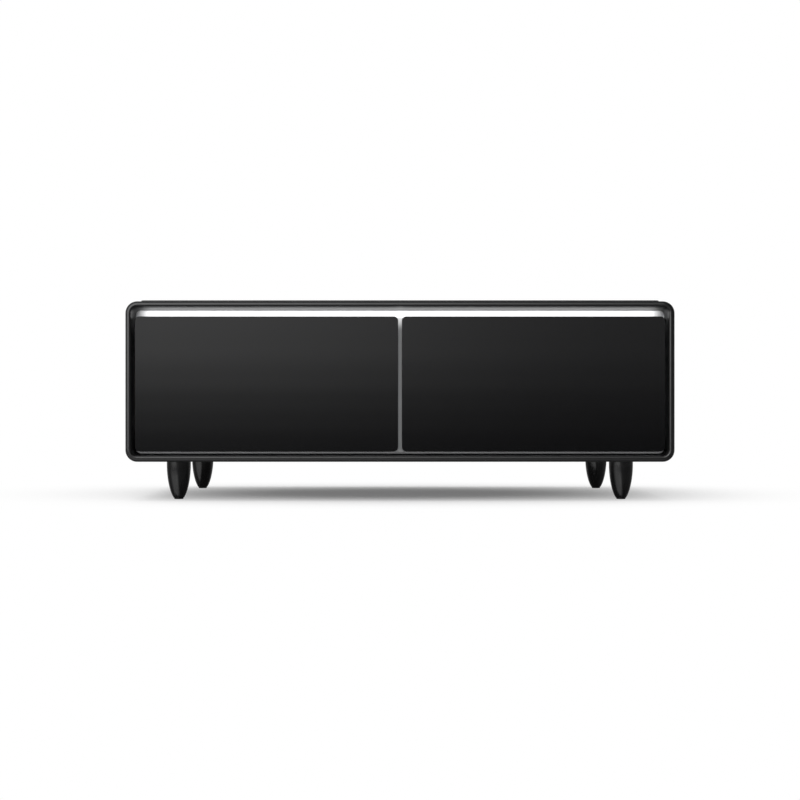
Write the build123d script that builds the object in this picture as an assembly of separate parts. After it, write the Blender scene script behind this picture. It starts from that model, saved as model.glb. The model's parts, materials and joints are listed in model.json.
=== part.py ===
from build123d import *
from math import atan, cos, degrees, pi, radians, sin, tan
import os

# Refrigerator coffee table: a two-drawer refrigerator in a low cabinet with a glass top.
# Millimetres. +X is to the right, the drawers open towards -Y, +Z is up.
# The origin is on the floor, under the middle of the cabinet.

# Cabinet
WIDTH = 1300.0
DEPTH = 650.0
BODY_HEIGHT = 380.0
LEG_HEIGHT = 93.0
CORNER_RADIUS = 28.0
SHELL_WALL = 1.5
FIT = 0.3               # clearance of inner pieces to the shell and to each other
RETURN_WIDTH = 15.0     # flange round the shell's rear edge
REAR_RECESS = 4.0       # rear panel's outer face, ahead of the shell's rear edge

# Glass top
TOP_GLASS = 4.0
TOP_TAPE = 0.5
TOP_TAPE_WIDTH = 20.0
TOP_SETBACK = 14.0      # front and rear
TOP_SIDE_MARGIN = 34.0
TOP_CORNER = 14.0
TOP_JOINT = 0.5         # gap round the glass
DECK = 8.0
DECK_MARGIN = 1.0       # inside the flat part of the shell's top

# Front frame: a bead, a slope behind it and a straight throat
BEAD_SIDE = 13.8
BEAD_TOP = 12.6
BEAD_BOTTOM = 14.4
BEAD_DEPTH = 14.0
BEAD_ROUND = 6.0
BEAD_CORNER = 15.0
SLOPE_SIDE = 5.2
SLOPE_TOP = 6.4
SLOPE_BOTTOM = 4.6
SLOPE_DEPTH = 26.0
THROAT_DEPTH = 18.0
THROAT_CORNER = 12.0
THROAT_WALL = 3.0
FRAME_WALL = 4.0
FACE_PLATE = 1.5

# Light band above the drawers
CHANNEL_HEIGHT = 20.0
CHANNEL_WALL = 1.5
DIFFUSER = 3.0
LIGHT_FIT = 0.2
STRIP_HEIGHT = 8.0
STRIP = 1.5
STRIP_END = 30.0
CHIP = 5.0
CHIP_THICKNESS = 1.2
CHIP_PITCH = 100.0

# Drawer fronts
FRONT_SETBACK = 10.0
FRONT_GLASS = 5.0
FRONT_CORNER = 10.0
FRONT_SIDE_GAP = 3.0
FRONT_BOTTOM_GAP = 5.6
FRONT_TOP_GAP = 16.4
CENTRE_GAP = 8.8
TRIM_SETBACK = 2.0      # behind the back of the glass
SILL = 5.2
TRIM_CORNER = 15.0
TRIM_TURN_UP = 18.0
DIVIDER = 24.0
PANEL_CLEAR = 2.0       # door panel to the divider
PANEL_SIDE_MARGIN = 17.0
PANEL_BOTTOM_MARGIN = 6.8
PANEL_CORNER = 8.0
PANEL_WALL = 2.5
GRIP_DROP = 27.6        # from the glass's upper edge down to the door panel
GRIP_RAIL = 3.0
GRIP_LIP = 7.0
GRIP_EDGE = 1.0         # rail below the glass's upper edge
GASKET = 7.7
GASKET_GAP = 0.3
GASKET_WIDTH = 10.0
GASKET_MARGIN = 2.5

# Compartments
LAND = 16.0             # face plate between a door panel's edge and the opening
LINER_WALL = 2.5
LINER_CORNER = 12.0
LINER_FLANGE = 10.0
BACK_FOAM = 28.0
TOP_FOAM = 30.0
EVAPORATOR_MARGIN = 50.0
EVAPORATOR = 1.5
EVAPORATOR_RIDGE = 3.0
EVAPORATOR_ROWS = 5
LAMP_LENGTH = 60.0
LAMP_DEPTH = 14.0
LAMP = 4.0
LAMP_SETBACK = 30.0
SENSOR_WIDTH = 30.0
SENSOR_HEIGHT = 12.0
SENSOR = 8.0
SENSOR_DROP = 30.0

# Drawer bins and slides
SLIDE_BACK_GAP = 24.5   # slides' rear ends to the liner's back wall
SLIDE_HEIGHT = 45.0
SLIDE_WIDTH = 12.7
SLIDE_WALL = 1.2
SLIDE_GAP = 0.35
SLIDE_LIP = 2.5
OUTER_REACH = 9.5       # how far the outer member stands from the liner
SLIDE_RISE = 105.0      # slide's centre line above the liner's floor
BIN_FRONT_GAP = 5.0     # behind the face plate's front
BIN_BACK_GAP = 19.5     # bin to the liner's back wall
BIN_TOP_GAP = 22.0      # bin to the liner's ceiling
BIN_LIFT = 10.0
BIN_WALL = 2.5
BIN_CORNER = 16.0
BIN_RIM = 4.0
BIN_RIM_HEIGHT = 3.0
BRACKET_WIDTH = 40.0
BRACKET_MARGIN = 36.0   # below the bin's rim and above its floor
BRACKET_WALL = 2.0
BRACKET_INSET = 60.0

# Machine compartment
BULKHEAD = 1.2
MACHINE_CLEAR = 10.0    # before and behind the compressor
REAR_PANEL = 1.2
TRAY_SIDE = 20.0        # beside the condenser and the compressor's foot plate
TRAY_WALL = 1.5
TRAY_RIM = 12.0
TRAY_MARGIN = 2.0
COMPRESSOR_X = 230.0
COMPRESSOR_WIDTH = 176.0
COMPRESSOR_DEPTH = 118.0
COMPRESSOR_HEIGHT = 150.0
COMPRESSOR_DOME = 22.0
COMPRESSOR_CROWN = 12.0
DOME_TAPER = 22.0       # degrees
CROWN_TAPER = 62.0      # degrees
COMPRESSOR_SEAM = 3.0
COMPRESSOR_SEAM_HEIGHT = 6.0
COMPRESSOR_FOOT = 3.0
FOOT_LENGTH = 200.0
FOOT_DEPTH = 112.0
MOUNT_RADIUS = 10.0
MOUNT_HEIGHT = 16.0
MOUNT_INSET = 14.0
TERMINAL_WIDTH = 42.0
TERMINAL_DEPTH = 60.0
TERMINAL_HEIGHT = 64.0
TERMINAL_RISE = 37.5    # above the foot plate
TERMINAL_CHAMFER = 8.4
PORT_RADIUS = 5.0
PORT_LENGTH = 14.0
PORT_RISE = 37.5        # above the foot plate
PORT_SPREAD = 23.6      # from the middle, to each side
CONDENSER_X = -300.0
CONDENSER_WIDTH = 150.0
CONDENSER_DEPTH = 112.0
CONDENSER_HEIGHT = 120.0
CONDENSER_PLATE = 2.0
FIN = 1.0
FIN_COUNT = 12
CONDENSER_CORE = 40.0
FAN_SIZE = 118.0
FAN_THICKNESS = 25.0
FAN_EDGE = 3.0          # frame's least width beside its bore
FAN_GAP = 22.0          # condenser to fan
ARM = 6.0
ARM_THICKNESS = 3.0
MOTOR_RADIUS = 19.0
MOTOR_LENGTH = 7.0
SHAFT_RADIUS = 2.0
SHAFT_FIT = 0.06
HUB_RADIUS = 20.0
HUB_LENGTH = 12.0
HUB_GAP = 0.4
BLADE_COUNT = 7
BLADE_GAP = 3.0         # blade's tip to the frame's bore
BLADE_CHORD = 17.0
BLADE = 1.4
BLADE_PITCH = 50.0      # degrees
BLADE_SINK = 1.0
DRIER_RADIUS = 9.0
DRIER_LENGTH = 90.0
DRIER_CONE = 14.0
DRIER_GAP = 16.0        # condenser to drier
DRIER_RISE = 60.0
TUBE_RADIUS = 3.0
TUBE_BEND = 18.0
DRIP_WIDTH = 150.0
DRIP_DEPTH = 90.0
DRIP_HEIGHT = 22.0
DRIP_WALL = 2.0
DRIP_RISE = 3.0

# Rear panel
VENT_COUNT = 8
VENT_LENGTH = 150.0
VENT_HEIGHT = 5.0
VENT_PITCH = 13.0
VENT_RISE = 40.0
SCREW_RADIUS = 4.0
SCREW_HEAD = 2.5
SCREW_COLUMNS = 5
INLET_INSET = 90.0      # from the cabinet's side
INLET_RISE = 45.0
INLET_WIDTH = 28.0
INLET_HEIGHT = 22.0
INLET_FLANGE = 6.0
INLET_FLANGE_THICKNESS = 2.5
INLET_DEPTH = 22.0
INLET_WALL = 2.5
INLET_FIT = 0.2
PIN_WIDTH = 2.0
PIN_HEIGHT = 4.0
PIN_LENGTH = 14.0
PIN_PITCH = 7.0
PIN_DROP = 3.5

# Controls
BOARD = 1.6
TOUCH_WIDTH = 180.0
TOUCH_DEPTH = 50.0
TOUCH_SETBACK = 60.0
TOUCH_CLEAR = 2.0
CONTROL_WIDTH = 200.0
CONTROL_DEPTH = 130.0
CONTROL_X = -320.0
CONTROL_GAP = 18.0      # ahead of the bulkhead
CONTROL_TRAY_HEIGHT = 26.0
CONTROL_TRAY_WALL = 2.0
CONTROL_STANDOFF = 5.0
RELAY = 18.0
RELAY_HEIGHT = 15.0
RELAY_PITCH = 27.0
RELAY_COUNT = 3
CAPACITOR_RADIUS = 9.0
CAPACITOR_HEIGHT = 15.0

# Legs
LEG_INSET_X = 115.0     # leg's centre from the cabinet's side
LEG_INSET_Y = 90.0      # and from its front or back
LEG_RADIUS = 28.9
LEG_SHOULDER = 7.0
LEG_FOOT = 11.46        # radius of the flat foot
PAD = 2.0
PAD_RADIUS = 11.0
STUD_RADIUS = 4.0
STUD_FIT = 0.06
STUD_DEPTH = 28.0
LEG_PLATE = 4.0
LEG_PLATE_WIDTH = 90.0
LEG_PLATE_DEPTH = 56.0
BOSS_RADIUS = 9.0
BOSS_HEIGHT = 12.0
BOSS_CLEAR = 1.0

OVERRUN = 5.0           # how far a cut runs past the face it opens
ROUND_SIDES = 16        # flats of a small round bar or bore
LEG_SIDES = 24          # flats round a leg and round the compressor
HEXAGON = 6
ROUND_LIMIT_SHARE = 0.48        # most that the bead's round may take of its width
ARC_SHARE = 1 - cos(radians(45))    # inset of a quarter round's middle, as a share of its radius
LEG_SHARES = (0.0, 0.2, 0.4, 0.58, 0.74, 0.88, 1.0)     # stations down a leg's tapered side

# Places worked out from the sizes above
FRONT = -DEPTH / 2
BACK = DEPTH / 2
BODY_BOTTOM = LEG_HEIGHT
BODY_TOP = LEG_HEIGHT + BODY_HEIGHT
INNER_X = WIDTH / 2 - SHELL_WALL
INNER_BOTTOM = BODY_BOTTOM + SHELL_WALL
INNER_TOP = BODY_TOP - SHELL_WALL
INNER_RADIUS = CORNER_RADIUS - SHELL_WALL
SLOPE_Y = FRONT + BEAD_DEPTH
THROAT_Y = SLOPE_Y + SLOPE_DEPTH
PLATE_Y = THROAT_Y + THROAT_DEPTH
LINER_Y = PLATE_Y + FACE_PLATE
BEAD_X = WIDTH / 2 - BEAD_SIDE
BEAD_LOW = BODY_BOTTOM + BEAD_BOTTOM
BEAD_HIGH = BODY_TOP - BEAD_TOP
THROAT_X = BEAD_X - SLOPE_SIDE
THROAT_LOW = BEAD_LOW + SLOPE_BOTTOM
THROAT_HIGH = BEAD_HIGH - SLOPE_TOP
CHANNEL_LOW = THROAT_HIGH - CHANNEL_HEIGHT
TOP_X = WIDTH / 2 - TOP_SIDE_MARGIN
TOP_Y = DEPTH / 2 - TOP_SETBACK
TOP_SEAT = INNER_TOP
TOP_GLASS_Z = TOP_SEAT + TOP_TAPE
DECK_LOW = INNER_TOP - DECK
DECK_X = WIDTH / 2 - CORNER_RADIUS - DECK_MARGIN
GLASS_Y = FRONT + FRONT_SETBACK
PANEL_Y = GLASS_Y + FRONT_GLASS
TRIM_Y = PANEL_Y + TRIM_SETBACK
GLASS_NEAR = CENTRE_GAP / 2
GLASS_FAR = THROAT_X - FRONT_SIDE_GAP
GLASS_LOW = THROAT_LOW + FRONT_BOTTOM_GAP
GLASS_HIGH = THROAT_HIGH - FRONT_TOP_GAP
GASKET_Y = PLATE_Y - GASKET_GAP - GASKET
PANEL_NEAR = DIVIDER / 2 + PANEL_CLEAR
PANEL_FAR = THROAT_X - PANEL_SIDE_MARGIN
PANEL_LOW = THROAT_LOW + SILL + PANEL_BOTTOM_MARGIN
PANEL_HIGH = GLASS_HIGH - GRIP_DROP
LINER_NEAR = PANEL_NEAR + LAND
LINER_FAR = PANEL_FAR - LAND
LINER_LOW = PANEL_LOW + LAND
LINER_HIGH = PANEL_HIGH - LAND
FOAM_TOP = LINER_HIGH + LINER_WALL + TOP_FOAM
REAR_Y = BACK - REAR_RECESS - REAR_PANEL
RETURN_Y = REAR_Y - SHELL_WALL
MACHINE_DEPTH = COMPRESSOR_DEPTH + 2 * (COMPRESSOR_SEAM + MACHINE_CLEAR)
BULKHEAD_Y = RETURN_Y - MACHINE_DEPTH - BULKHEAD
LINER_BACK = BULKHEAD_Y - BACK_FOAM - LINER_WALL
BIN_Y = PLATE_Y + BIN_FRONT_GAP
BIN_NEAR = LINER_NEAR + SLIDE_WIDTH
BIN_FAR = LINER_FAR - SLIDE_WIDTH
BIN_BACK = LINER_BACK - BIN_BACK_GAP
BIN_LOW = LINER_LOW + BIN_LIFT
BIN_HIGH = LINER_HIGH - BIN_TOP_GAP
SLIDE_BACK = LINER_BACK - SLIDE_BACK_GAP
SLIDE_Z = LINER_LOW + SLIDE_RISE
MACHINE_Y = RETURN_Y - MACHINE_DEPTH / 2
TRAY_FLOOR = INNER_BOTTOM + TRAY_WALL
FOOT_LOW = TRAY_FLOOR + MOUNT_HEIGHT
COMPRESSOR_LOW = FOOT_LOW + COMPRESSOR_FOOT
COMPRESSOR_END = COMPRESSOR_X - COMPRESSOR_WIDTH / 2
PORT_X = COMPRESSOR_END - PORT_LENGTH
PORT_Z = COMPRESSOR_LOW + PORT_RISE
FAN_X = CONDENSER_X + CONDENSER_WIDTH / 2 + FAN_GAP
FAN_Z = TRAY_FLOOR + FAN_SIZE / 2
FAN_BORE = FAN_SIZE / 2 - FAN_EDGE
BLADE_TIP = FAN_BORE - BLADE_GAP
INLET_X = WIDTH / 2 - INLET_INSET
INLET_Z = INNER_BOTTOM + INLET_RISE
CONTROL_Y = BULKHEAD_Y - CONTROL_GAP - CONTROL_DEPTH / 2
LEG_X = WIDTH / 2 - LEG_INSET_X
LEG_Y = DEPTH / 2 - LEG_INSET_Y
LEG_TAPERED = LEG_HEIGHT - LEG_SHOULDER - PAD
BOSS_TOP = INNER_BOTTOM + LEG_PLATE + BOSS_HEIGHT


def block(x0, x1, y0, y1, z0, z1):
    """Block between two opposite corners."""
    size = Box(x1 - x0, y1 - y0, z1 - z0)
    return Pos((x0 + x1) / 2, (y0 + y1) / 2, (z0 + z1) / 2) * size


def outline(x0, x1, z0, z1, radius, y):
    """Rounded rectangle that faces the front, at depth y."""
    middle = Plane(origin=((x0 + x1) / 2, y, (z0 + z1) / 2), x_dir=(1, 0, 0), z_dir=(0, -1, 0))
    return middle * RectangleRounded(x1 - x0, z1 - z0, radius)


def plate(x0, x1, z0, z1, radius, y0, y1):
    """Upright plate with rounded corners, from depth y0 to depth y1."""
    return extrude(outline(x0, x1, z0, z1, radius, y0), amount=y1 - y0, dir=(0, 1, 0))


def flat(x0, x1, y0, y1, radius, z0, z1):
    """Lying plate with rounded corners."""
    shape = Pos((x0 + x1) / 2, (y0 + y1) / 2, z0) * RectangleRounded(x1 - x0, y1 - y0, radius)
    return extrude(shape, amount=z1 - z0)


def profile(points, start, length, direction):
    """Solid of a closed outline of corner points, drawn at its start and run along an axis."""
    face = make_face(Polyline(*points, close=True))
    return extrude(Pos(*start) * face, amount=length, dir=direction)


def inner_plate(inset, y0, y1):
    """Plate that fills the shell's inside, less an inset all round."""
    return plate(-INNER_X + inset, INNER_X - inset, INNER_BOTTOM + inset, INNER_TOP - inset,
                 INNER_RADIUS - inset, y0, y1)


def rod_x(radius, x0, x1, y, z):
    """Round bar along X, with ROUND_SIDES flats."""
    side = Plane(origin=(x0, y, z), x_dir=(0, 1, 0), z_dir=(1, 0, 0))
    return extrude(side * RegularPolygon(radius, ROUND_SIDES), amount=x1 - x0)


def rod_z(radius, x, y, z0, z1):
    """Round bar along Z, with ROUND_SIDES flats."""
    return extrude(Pos(x, y, z0) * RegularPolygon(radius, ROUND_SIDES), amount=z1 - z0)


def cone(radius, end_radius, length, sides):
    """Tapered bar with flat sides, along +Z from the origin."""
    apothem_share = cos(pi / sides)
    taper = degrees(atan((radius - end_radius) * apothem_share / length))
    return extrude(RegularPolygon(radius, sides), amount=length, taper=taper)


def bore(radius):
    """Corner radius of a bore whose flats lie at the given radius."""
    return radius / cos(pi / ROUND_SIDES)


def leg_places():
    """Centres of the four legs."""
    return [(sx * LEG_X, sy * LEG_Y) for sx in (-1, 1) for sy in (-1, 1)]


def bead_outline(grow, y):
    """Outline of the frame's opening at the bead, made larger all round."""
    return outline(-BEAD_X - grow, BEAD_X + grow, BEAD_LOW - grow, BEAD_HIGH + grow,
                   BEAD_CORNER + grow, y)


def body_outline(inset, y):
    """Outline of the cabinet, less an inset all round."""
    half = WIDTH / 2 - inset
    return outline(-half, half, BODY_BOTTOM + inset, BODY_TOP - inset, CORNER_RADIUS - inset, y)


def throat(y0, y1):
    """Straight inside of the frame, behind its slope."""
    return plate(-THROAT_X, THROAT_X, THROAT_LOW, THROAT_HIGH, THROAT_CORNER, y0, y1)


def glass_recess():
    """Space that the top glass and its tape take up, with the joint round them."""
    x = TOP_X + TOP_JOINT
    y = TOP_Y + TOP_JOINT
    return flat(-x, x, -y, y, TOP_CORNER + TOP_JOINT, TOP_SEAT, BODY_TOP + OVERRUN)


def front_bezel():
    """Moulded front frame: rounded bead, sloped recess and straight throat, hollow at the back."""
    half = WIDTH / 2
    r = min(BEAD_ROUND, ROUND_LIMIT_SHARE * min(BEAD_SIDE, BEAD_TOP, BEAD_BOTTOM))
    arc = r * ARC_SHARE
    body = plate(-half, half, BODY_BOTTOM, BODY_TOP, CORNER_RADIUS, FRONT + r, PLATE_Y)
    body += loft([body_outline(r, FRONT), body_outline(arc, FRONT + arc), body_outline(0, FRONT + r)],
                 ruled=True)
    body -= loft([bead_outline(r, FRONT), bead_outline(arc, FRONT + arc), bead_outline(0, FRONT + r)],
                 ruled=True)
    body -= plate(-BEAD_X, BEAD_X, BEAD_LOW, BEAD_HIGH, BEAD_CORNER, FRONT + r, SLOPE_Y)
    back = outline(-THROAT_X, THROAT_X, THROAT_LOW, THROAT_HIGH, THROAT_CORNER, THROAT_Y)
    body -= loft([bead_outline(0, SLOPE_Y), back], ruled=True)
    body -= throat(THROAT_Y, PLATE_Y + OVERRUN)
    hollow = plate(-half + FRAME_WALL, half - FRAME_WALL, BODY_BOTTOM + FRAME_WALL,
                   BODY_TOP - FRAME_WALL, CORNER_RADIUS - FRAME_WALL, THROAT_Y, PLATE_Y + OVERRUN)
    hollow -= plate(-THROAT_X - THROAT_WALL, THROAT_X + THROAT_WALL, THROAT_LOW - THROAT_WALL,
                    THROAT_HIGH + THROAT_WALL, THROAT_CORNER + THROAT_WALL,
                    THROAT_Y - OVERRUN, PLATE_Y + OVERRUN)
    return body - hollow - glass_recess()


def outer_shell():
    """Sheet wrap of top, sides and floor, with a flange round the rear and the legs' holes."""
    half = WIDTH / 2
    shell = plate(-half, half, BODY_BOTTOM, BODY_TOP, CORNER_RADIUS, PLATE_Y, BACK)
    shell -= inner_plate(0, PLATE_Y - OVERRUN, RETURN_Y)
    x = INNER_X - RETURN_WIDTH
    shell -= block(-x, x, RETURN_Y - OVERRUN, BACK, INNER_BOTTOM + RETURN_WIDTH,
                   INNER_TOP - RETURN_WIDTH)
    shell -= inner_plate(0, REAR_Y, BACK + OVERRUN)
    for x, y in leg_places():
        shell -= rod_z(bore(STUD_RADIUS + STUD_FIT), x, y, BODY_BOTTOM - OVERRUN, INNER_BOTTOM + OVERRUN)
    return shell - glass_recess()


def top_glass():
    """Glass top with rounded corners."""
    return flat(-TOP_X, TOP_X, -TOP_Y, TOP_Y, TOP_CORNER, TOP_GLASS_Z, TOP_GLASS_Z + TOP_GLASS)


def top_tape():
    """Ring of tape that bonds the glass to its seat."""
    x = TOP_X - TOP_CORNER / 2
    y = TOP_Y - TOP_CORNER / 2
    w = TOP_TAPE_WIDTH
    ring = block(-x, x, -y, y, TOP_SEAT, TOP_GLASS_Z)
    return ring - block(-x + w, x - w, -y + w, y - w, TOP_SEAT - OVERRUN, TOP_GLASS_Z + OVERRUN)


def touch_space(clear):
    """Place of the touch board, right under the glass near the front, with a clearance."""
    x = TOUCH_WIDTH / 2 + clear
    y0 = LINER_Y + TOUCH_SETBACK - clear
    y1 = LINER_Y + TOUCH_SETBACK + TOUCH_DEPTH + clear
    return -x, x, y0, y1


def top_deck():
    """Board under the glass, with a window for the touch board."""
    deck = block(-DECK_X, DECK_X, LINER_Y, RETURN_Y, DECK_LOW, INNER_TOP)
    return deck - block(*touch_space(TOUCH_CLEAR), DECK_LOW - OVERRUN, INNER_TOP + OVERRUN)


def touch_board():
    """Printed board with the touch areas, bonded to the underside of the glass."""
    return block(*touch_space(0), TOP_GLASS_Z - BOARD, TOP_GLASS_Z)


def light_outline(inset, y0, y1):
    """Section of the throat above the drawer fronts, less an inset, from depth y0 to y1."""
    band = plate(-THROAT_X + inset, THROAT_X - inset, THROAT_LOW, THROAT_HIGH - inset,
                 THROAT_CORNER - inset, y0, y1)
    low = CHANNEL_LOW + inset - LIGHT_FIT
    return band - block(-WIDTH, WIDTH, y0 - OVERRUN, y1 + OVERRUN, THROAT_LOW - OVERRUN, low)


def light_channel():
    """Tray that holds the light strip and the diffuser, open to the front."""
    tray = light_outline(LIGHT_FIT, THROAT_Y, PLATE_Y)
    return tray - light_outline(LIGHT_FIT + CHANNEL_WALL, THROAT_Y - OVERRUN, PLATE_Y - CHANNEL_WALL)


def light_diffuser():
    """Opal cover of the light band."""
    return light_outline(2 * LIGHT_FIT + CHANNEL_WALL, THROAT_Y, THROAT_Y + DIFFUSER)


def light_strip():
    """Strip board on the channel's back wall, with a row of light chips."""
    x = THROAT_X - STRIP_END
    y = PLATE_Y - CHANNEL_WALL
    z = (CHANNEL_LOW + THROAT_HIGH) / 2
    strip = block(-x, x, y - STRIP, y, z - STRIP_HEIGHT / 2, z + STRIP_HEIGHT / 2)
    count = int((2 * x - CHIP) // CHIP_PITCH)
    for i in range(count + 1):
        cx = (i - count / 2) * CHIP_PITCH
        strip += block(cx - CHIP / 2, cx + CHIP / 2, y - STRIP - CHIP_THICKNESS, y - STRIP,
                       z - CHIP / 2, z + CHIP / 2)
    return strip


def face_plate():
    """Steel plate behind the front frame, with the two compartments' openings."""
    sheet = inner_plate(FIT, PLATE_Y, LINER_Y)
    for side in (-1, 1):
        x0, x1 = sorted((side * LINER_NEAR, side * LINER_FAR))
        sheet -= plate(x0, x1, LINER_LOW, LINER_HIGH, LINER_CORNER, PLATE_Y - OVERRUN,
                       LINER_Y + OVERRUN)
    return sheet


def front_trim():
    """Light grey trim: sill with turned-up ends, and the divider between the drawers."""
    top = THROAT_LOW + TRIM_CORNER + TRIM_TURN_UP
    tray = plate(-GLASS_FAR, GLASS_FAR, THROAT_LOW, THROAT_HIGH, TRIM_CORNER, TRIM_Y, PLATE_Y)
    tray -= plate(-GLASS_FAR + SILL, GLASS_FAR - SILL, THROAT_LOW + SILL, THROAT_HIGH + SILL,
                  TRIM_CORNER - SILL, TRIM_Y - OVERRUN, PLATE_Y + OVERRUN)
    tray -= block(-WIDTH, WIDTH, TRIM_Y - OVERRUN, PLATE_Y + OVERRUN, top, THROAT_HIGH + OVERRUN)
    return tray + block(-DIVIDER / 2, DIVIDER / 2, TRIM_Y, PLATE_Y, THROAT_LOW + SILL / 2, CHANNEL_LOW)


def right_liner():
    """Moulded compartment with a flange behind the face plate."""
    w = LINER_WALL
    f = w + LINER_FLANGE
    box = plate(LINER_NEAR - w, LINER_FAR + w, LINER_LOW - w, LINER_HIGH + w,
                LINER_CORNER + w, LINER_Y, LINER_BACK + w)
    box += block(LINER_NEAR - f, LINER_FAR + f, LINER_Y, LINER_Y + w, LINER_LOW - f, LINER_HIGH + f)
    return box - plate(LINER_NEAR, LINER_FAR, LINER_LOW, LINER_HIGH, LINER_CORNER,
                       LINER_Y - OVERRUN, LINER_BACK)


def right_liner_space():
    """Room that a liner takes up in the foam."""
    w = LINER_WALL + FIT
    f = w + LINER_FLANGE
    box = block(LINER_NEAR - w, LINER_FAR + w, LINER_Y - OVERRUN, LINER_BACK + LINER_WALL,
                LINER_LOW - w, LINER_HIGH + w)
    return box + block(LINER_NEAR - f, LINER_FAR + f, LINER_Y - OVERRUN, LINER_Y + LINER_WALL,
                       LINER_LOW - f, LINER_HIGH + f)


def evaporators():
    """Cold plates on the liners' back walls, with the raised rows of their passage."""
    x0 = LINER_NEAR + EVAPORATOR_MARGIN
    x1 = LINER_FAR - EVAPORATOR_MARGIN
    z0 = LINER_LOW + EVAPORATOR_MARGIN
    z1 = LINER_HIGH - EVAPORATOR_MARGIN
    y = LINER_BACK + LINER_WALL
    sheet = block(x0, x1, y, y + EVAPORATOR, z0, z1)
    pitch = (z1 - z0) / (EVAPORATOR_ROWS + 1)
    for i in range(EVAPORATOR_ROWS):
        z = z0 + (i + 1) * pitch
        sheet += block(x0 + pitch, x1 - pitch, y + EVAPORATOR, y + EVAPORATOR + EVAPORATOR_RIDGE,
                       z - EVAPORATOR_RIDGE, z + EVAPORATOR_RIDGE)
    return sheet + mirror(sheet, about=Plane.YZ)


def insulation_foam():
    """Foam between the shell and the liners, up to the bulkhead."""
    foam = inner_plate(FIT, LINER_Y, BULKHEAD_Y)
    foam -= block(-WIDTH, WIDTH, LINER_Y - OVERRUN, BULKHEAD_Y + OVERRUN, FOAM_TOP, BODY_TOP)
    y = LINER_BACK + LINER_WALL
    depth = EVAPORATOR + EVAPORATOR_RIDGE + FIT
    cold = block(LINER_NEAR + EVAPORATOR_MARGIN - FIT, LINER_FAR - EVAPORATOR_MARGIN + FIT, y - OVERRUN,
                 y + depth, LINER_LOW + EVAPORATOR_MARGIN - FIT, LINER_HIGH - EVAPORATOR_MARGIN + FIT)
    right = right_liner_space() + cold
    foam = foam - right - mirror(right, about=Plane.YZ)
    for x, y in leg_places():
        if y < BULKHEAD_Y:
            foam -= leg_plate_space(x, y)
    return foam


def compartment_lamps():
    """One lamp on each compartment's ceiling, near the front."""
    x = (LINER_NEAR + LINER_FAR) / 2
    y = LINER_Y + LAMP_SETBACK
    lamp = block(x - LAMP_LENGTH / 2, x + LAMP_LENGTH / 2, y, y + LAMP_DEPTH,
                 LINER_HIGH - LAMP, LINER_HIGH)
    return lamp + mirror(lamp, about=Plane.YZ)


def temperature_sensors():
    """One sensor clip high on each compartment's back wall."""
    x = (LINER_NEAR + LINER_FAR) / 2
    z = LINER_HIGH - SENSOR_DROP
    clip = block(x - SENSOR_WIDTH / 2, x + SENSOR_WIDTH / 2, LINER_BACK - SENSOR, LINER_BACK,
                 z - SENSOR_HEIGHT, z)
    return clip + mirror(clip, about=Plane.YZ)


def right_front_glass():
    """Glass front of the drawer."""
    return plate(GLASS_NEAR, GLASS_FAR, GLASS_LOW, GLASS_HIGH, FRONT_CORNER, GLASS_Y, PANEL_Y)


def right_door_space(inset, y0, y1):
    """Room inside the door panel, less an inset."""
    w = PANEL_WALL + inset
    return block(PANEL_NEAR + w, PANEL_FAR - w, y0, y1, PANEL_LOW + w, PANEL_HIGH - w)


def right_door_panel():
    """Moulded tray behind the glass, closed at the rear."""
    tray = plate(PANEL_NEAR, PANEL_FAR, PANEL_LOW, PANEL_HIGH, PANEL_CORNER, PANEL_Y, GASKET_Y)
    return tray - right_door_space(0, PANEL_Y - OVERRUN, GASKET_Y - PANEL_WALL)


def right_door_foam():
    """Foam that fills the door panel."""
    return right_door_space(FIT, PANEL_Y, GASKET_Y - PANEL_WALL)


def right_grip_rail():
    """Rail behind the glass's upper edge, with the lip that the fingers pull."""
    top = GLASS_HIGH - GRIP_EDGE
    rail = block(PANEL_NEAR, PANEL_FAR, PANEL_Y, PANEL_Y + GRIP_RAIL, PANEL_HIGH, top)
    return rail + block(PANEL_NEAR, PANEL_FAR, PANEL_Y, PANEL_Y + GRIP_LIP, top - GRIP_RAIL, top)


def right_gasket():
    """Magnetic gasket on the door panel's rear face, within its rounded corners."""
    m = GASKET_MARGIN
    n = m + GASKET_WIDTH
    y0 = GASKET_Y
    y1 = GASKET_Y + GASKET
    ring = block(PANEL_NEAR + m, PANEL_FAR - m, y0, y1, PANEL_LOW + m, PANEL_HIGH - m)
    return ring - block(PANEL_NEAR + n, PANEL_FAR - n, y0 - OVERRUN, y1 + OVERRUN,
                        PANEL_LOW + n, PANEL_HIGH - n)


def right_bin():
    """Open storage bin with rounded upright corners and a thicker rim."""
    w = BIN_WALL
    below = BIN_HIGH - BIN_RIM_HEIGHT
    tub = flat(BIN_NEAR, BIN_FAR, BIN_Y, BIN_BACK, BIN_CORNER, BIN_LOW, BIN_HIGH)
    tub += flat(BIN_NEAR - BIN_RIM, BIN_FAR + BIN_RIM, BIN_Y, BIN_BACK + BIN_RIM, BIN_CORNER, below, BIN_HIGH)
    return tub - flat(BIN_NEAR + w, BIN_FAR - w, BIN_Y + w, BIN_BACK - w, BIN_CORNER - w, BIN_LOW + w,
                      BIN_HIGH + OVERRUN)


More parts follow.
